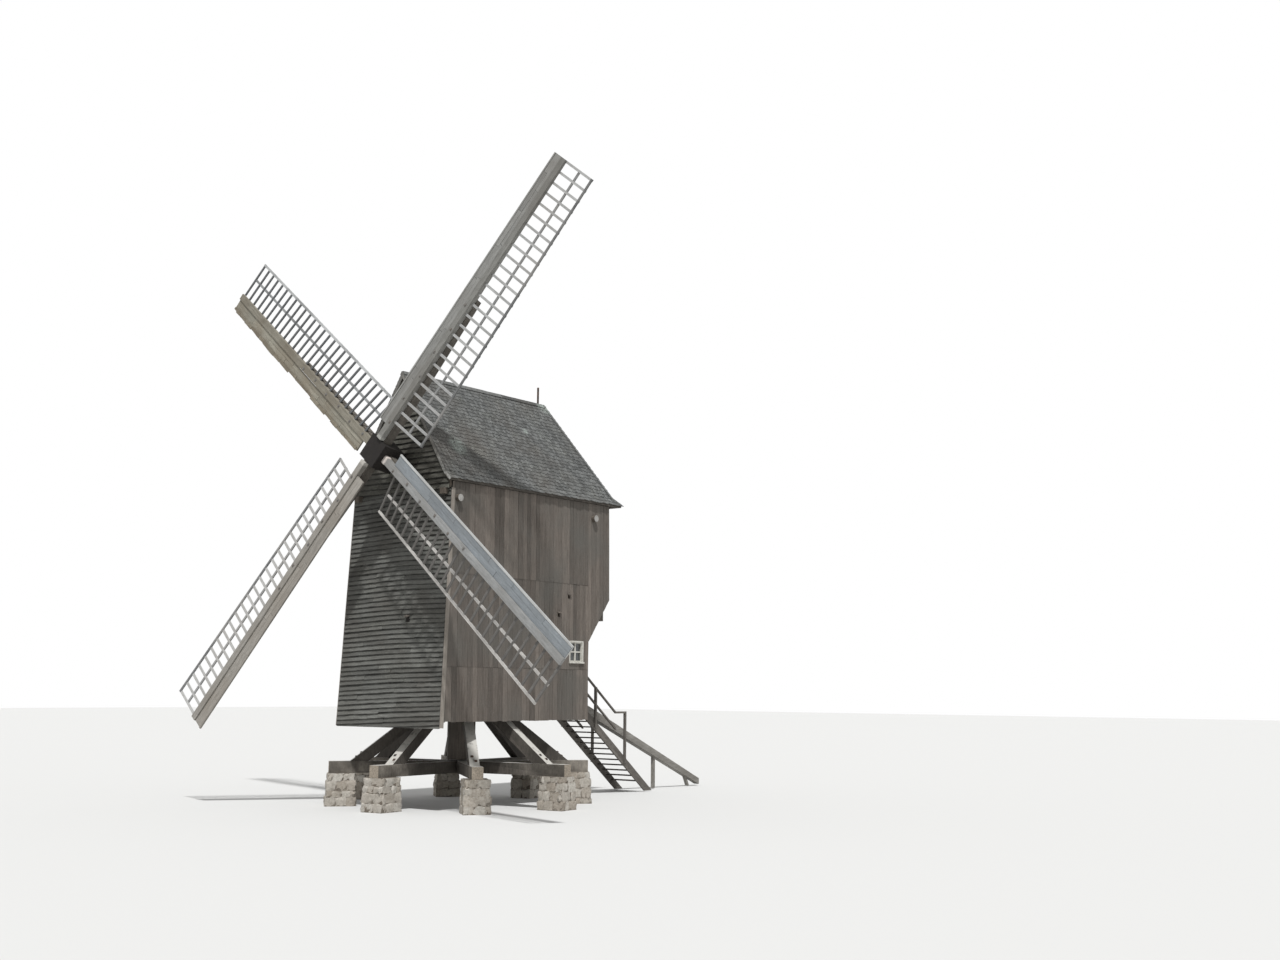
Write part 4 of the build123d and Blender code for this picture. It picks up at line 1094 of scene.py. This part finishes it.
blankBolt = boltBlank()
sailBolts, trestleBolts = [], []
for index in range(4):
    for number, distance in enumerate(bolt["alongSail"]):
        aside = bolt["aside"] if number % 2 else -bolt["aside"]
        sailBolts.append(layOnSail(index, blankBolt, distance, aside, bolt["whip"]))
barLean = math.radians(feet["barSlope"])
for foot in range(feet["count"]):
    outward, sideways = footLines(foot)
    upBar = -outward * math.cos(barLean) + Vector((0, 0, math.sin(barLean)))
    barFoot = outward * feet["barRadius"] + Vector((0, 0, feet["treeTop"]))
    for distance, aside in bolt["alongBar"]:
        at = barFoot + upBar * distance + sideways * aside
        trestleBolts.append(copyOf(blankBolt, facing(at, sideways, sideways.cross(upBar))))
assemble("sailBolts", sailBolts, "sails", "greyIron")
assemble("trestleBolts", trestleBolts, "trestle", "rustedIron")
discard(blankBolt)

# two strap hinges, and a ring on its plate
irons = {"strap": (0.62, 0.055, 0.007), "plate": (0.16, 0.05, 0.008), "ring": 0.05, "ringThick": 0.008}
strapBlank = boardBlank(0, 0.3)
ironPieces = []
for z in door["ledges"]:
    at = (irons["strap"][0] / 2 + 0.03 - door["half"], door["face"] + 0.046 + irons["strap"][2] / 2, z)
    ironPieces.append(lay(strapBlank, at, (1, 0, 0), (0, 1, 0), irons["strap"]))
at = (door["ringX"], door["face"] + 0.027, door["plateZ"])
ironPieces.append(lay(strapBlank, at, (0, 0, -1), (0, 1, 0), irons["plate"]))
discard(strapBlank)
bpy.ops.mesh.primitive_torus_add(location=(door["ringX"], door["face"] + 0.041, door["ringZ"]),
                                 rotation=(math.radians(82), 0, 0), major_radius=irons["ring"],
                                 minor_radius=irons["ringThick"], major_segments=20, minor_segments=8)
ring = bpy.context.object
edit(ring)
bpy.ops.transform.resize(value=(0.92, 1, 1.12), center_override=ring.location)
done()
ironPieces.append(applyPlace())
smooth(ring, 32)
assemble("doorIrons", ironPieces, "buck", "rustedIron")
print("bolts and door irons fixed")

# window bars, casing and sill, and hoods over the peepholes
casing = {"bar": (0.062, 0.034), "crossBar": (0.045, 0.03), "board": (0.055, 0.03), "sill": (0.05, 0.07),
          "inset": 0.028, "out": 0.03, "sillOut": 0.045, "lap": 0.015, "rail": 0.14}
barBlank = boardBlank(0, 0.12)
paintPieces = []
size, middle = window["size"], window["sill"] + window["size"] / 2
head = window["sill"] + size - casing["lap"]
for side in (1, -1):
    def fix(out, y, z, along, length, section):
        at = (side * (sideFace(middle) + out), window["y"] + y, z)
        paintPieces.append(lay(barBlank, at, along, (side, 0, 0), (length, *section)))

    fix(-casing["inset"], 0, middle, (0, 0, 1), size - casing["rail"], casing["bar"])
    fix(-casing["inset"], 0, middle, (0, 1, 0), size - casing["rail"], casing["crossBar"])
    for edge in (-1, 1):
        fix(casing["out"], edge * (size / 2 - casing["lap"]), middle, (0, 0, 1), size + 0.02, casing["board"])
    fix(casing["out"], 0, head, (0, 1, 0), size - 2 * casing["lap"], casing["board"])
    fix(casing["sillOut"], 0, window["sill"], (0, 1, 0), size + 0.05, casing["sill"])
assemble("windowBars", paintPieces, "buck", "whitePaint", 0.0008, 2)

hoodPieces, holeShadePieces = [], []
for y, z in peepholes["right"]:
    at = (sideFace(z) + 0.055, y, z + 0.085)
    hoodPieces.append(lay(barBlank, at, (0, -1, 0), (0.5, 0, 0.8), (0.17, 0.075, 0.016)))
for x, z in peepholes["front"]:  # a near-black board behind the hole, as painted shade for the dark inside
    at = (x, frontFace(z) - 0.075, z + 0.1)
    hoodPieces.append(lay(barBlank, at, (-1, 0, 0), (0, -0.5, 0.8), (0.18, 0.11, 0.02)))
    at = (x, frontFace(z) - 0.006, z)
    holeShadePieces.append(lay(barBlank, at, (1, 0, 0), (0, -1, 0), (0.21, 0.2, 0.01)))
assemble("peepholeHoods", hoodPieces, "buck", "uprightBoard")
assemble("peepholeShade", holeShadePieces, "buck", "pollOakAndShade")
discard(barBlank)
print("windows glazed and hoods fixed")

# floor, light and camera
bpy.ops.mesh.primitive_plane_add(size=400, location=(0, 0, 0))
ground = bpy.context.object
ground.name = "studioFloor"
floorMaterial, tree, shader, place = blankMaterial("paleFloor", 0.95, specular=0.1)
fill(tree, shader, {"Base Color": (0.66, 0.66, 0.65)})
ground.data.materials.append(floorMaterial)

light = {"sky": 0.5, "sun": 3.0, "sunSpread": 2.5, "sunTurn": 44, "sunHeight": 60}
world = bpy.data.worlds.new("studio")
bpy.context.scene.world = world
world.use_nodes = True
tree = world.node_tree
path = nodeOf(tree, "LightPath")
seen = maths(tree, "MAXIMUM", path["Is Camera Ray"], path["Is Glossy Ray"])
seen = maths(tree, "MAXIMUM", seen, path["Is Transmission Ray"])
strength = maths(tree, "MULTIPLY_ADD", seen, 1 - light["sky"], light["sky"])
fill(tree, tree.nodes["Background"], {"Color": (1, 1, 1), "Strength": strength})

bpy.ops.object.light_add(type="SUN", location=(20, -20, 30))
sun = bpy.context.object
sun.name = "softSun"
sun.data.energy = light["sun"]
sun.data.angle = math.radians(light["sunSpread"])
turn, height = math.radians(light["sunTurn"]), math.radians(light["sunHeight"])
sunFrom = Vector((math.sin(turn) * math.cos(height), -math.cos(turn) * math.cos(height), math.sin(height)))
sun.rotation_euler = sunFrom.to_track_quat("Z", "Y").to_euler()

view = {"place": (33.027, -34.217, 3.579), "yaw": 0.64903, "pitch": 0.14365, "roll": 0.00787, "lens": 41.08}
bpy.ops.object.camera_add(location=view["place"])
camera = bpy.context.object
aim = Matrix.Rotation(view["yaw"], 3, "Z") @ Matrix.Rotation(math.pi / 2 + view["pitch"], 3, "X")
camera.rotation_euler = (aim @ Matrix.Rotation(view["roll"], 3, "Z")).to_euler()
camera.data.sensor_width = 36
camera.data.sensor_fit = "HORIZONTAL"
camera.data.lens = view["lens"]
camera.data.clip_end = 600
bpy.context.scene.camera = camera
bpy.context.scene.view_settings.view_transform = "Standard"
print("light and camera set")
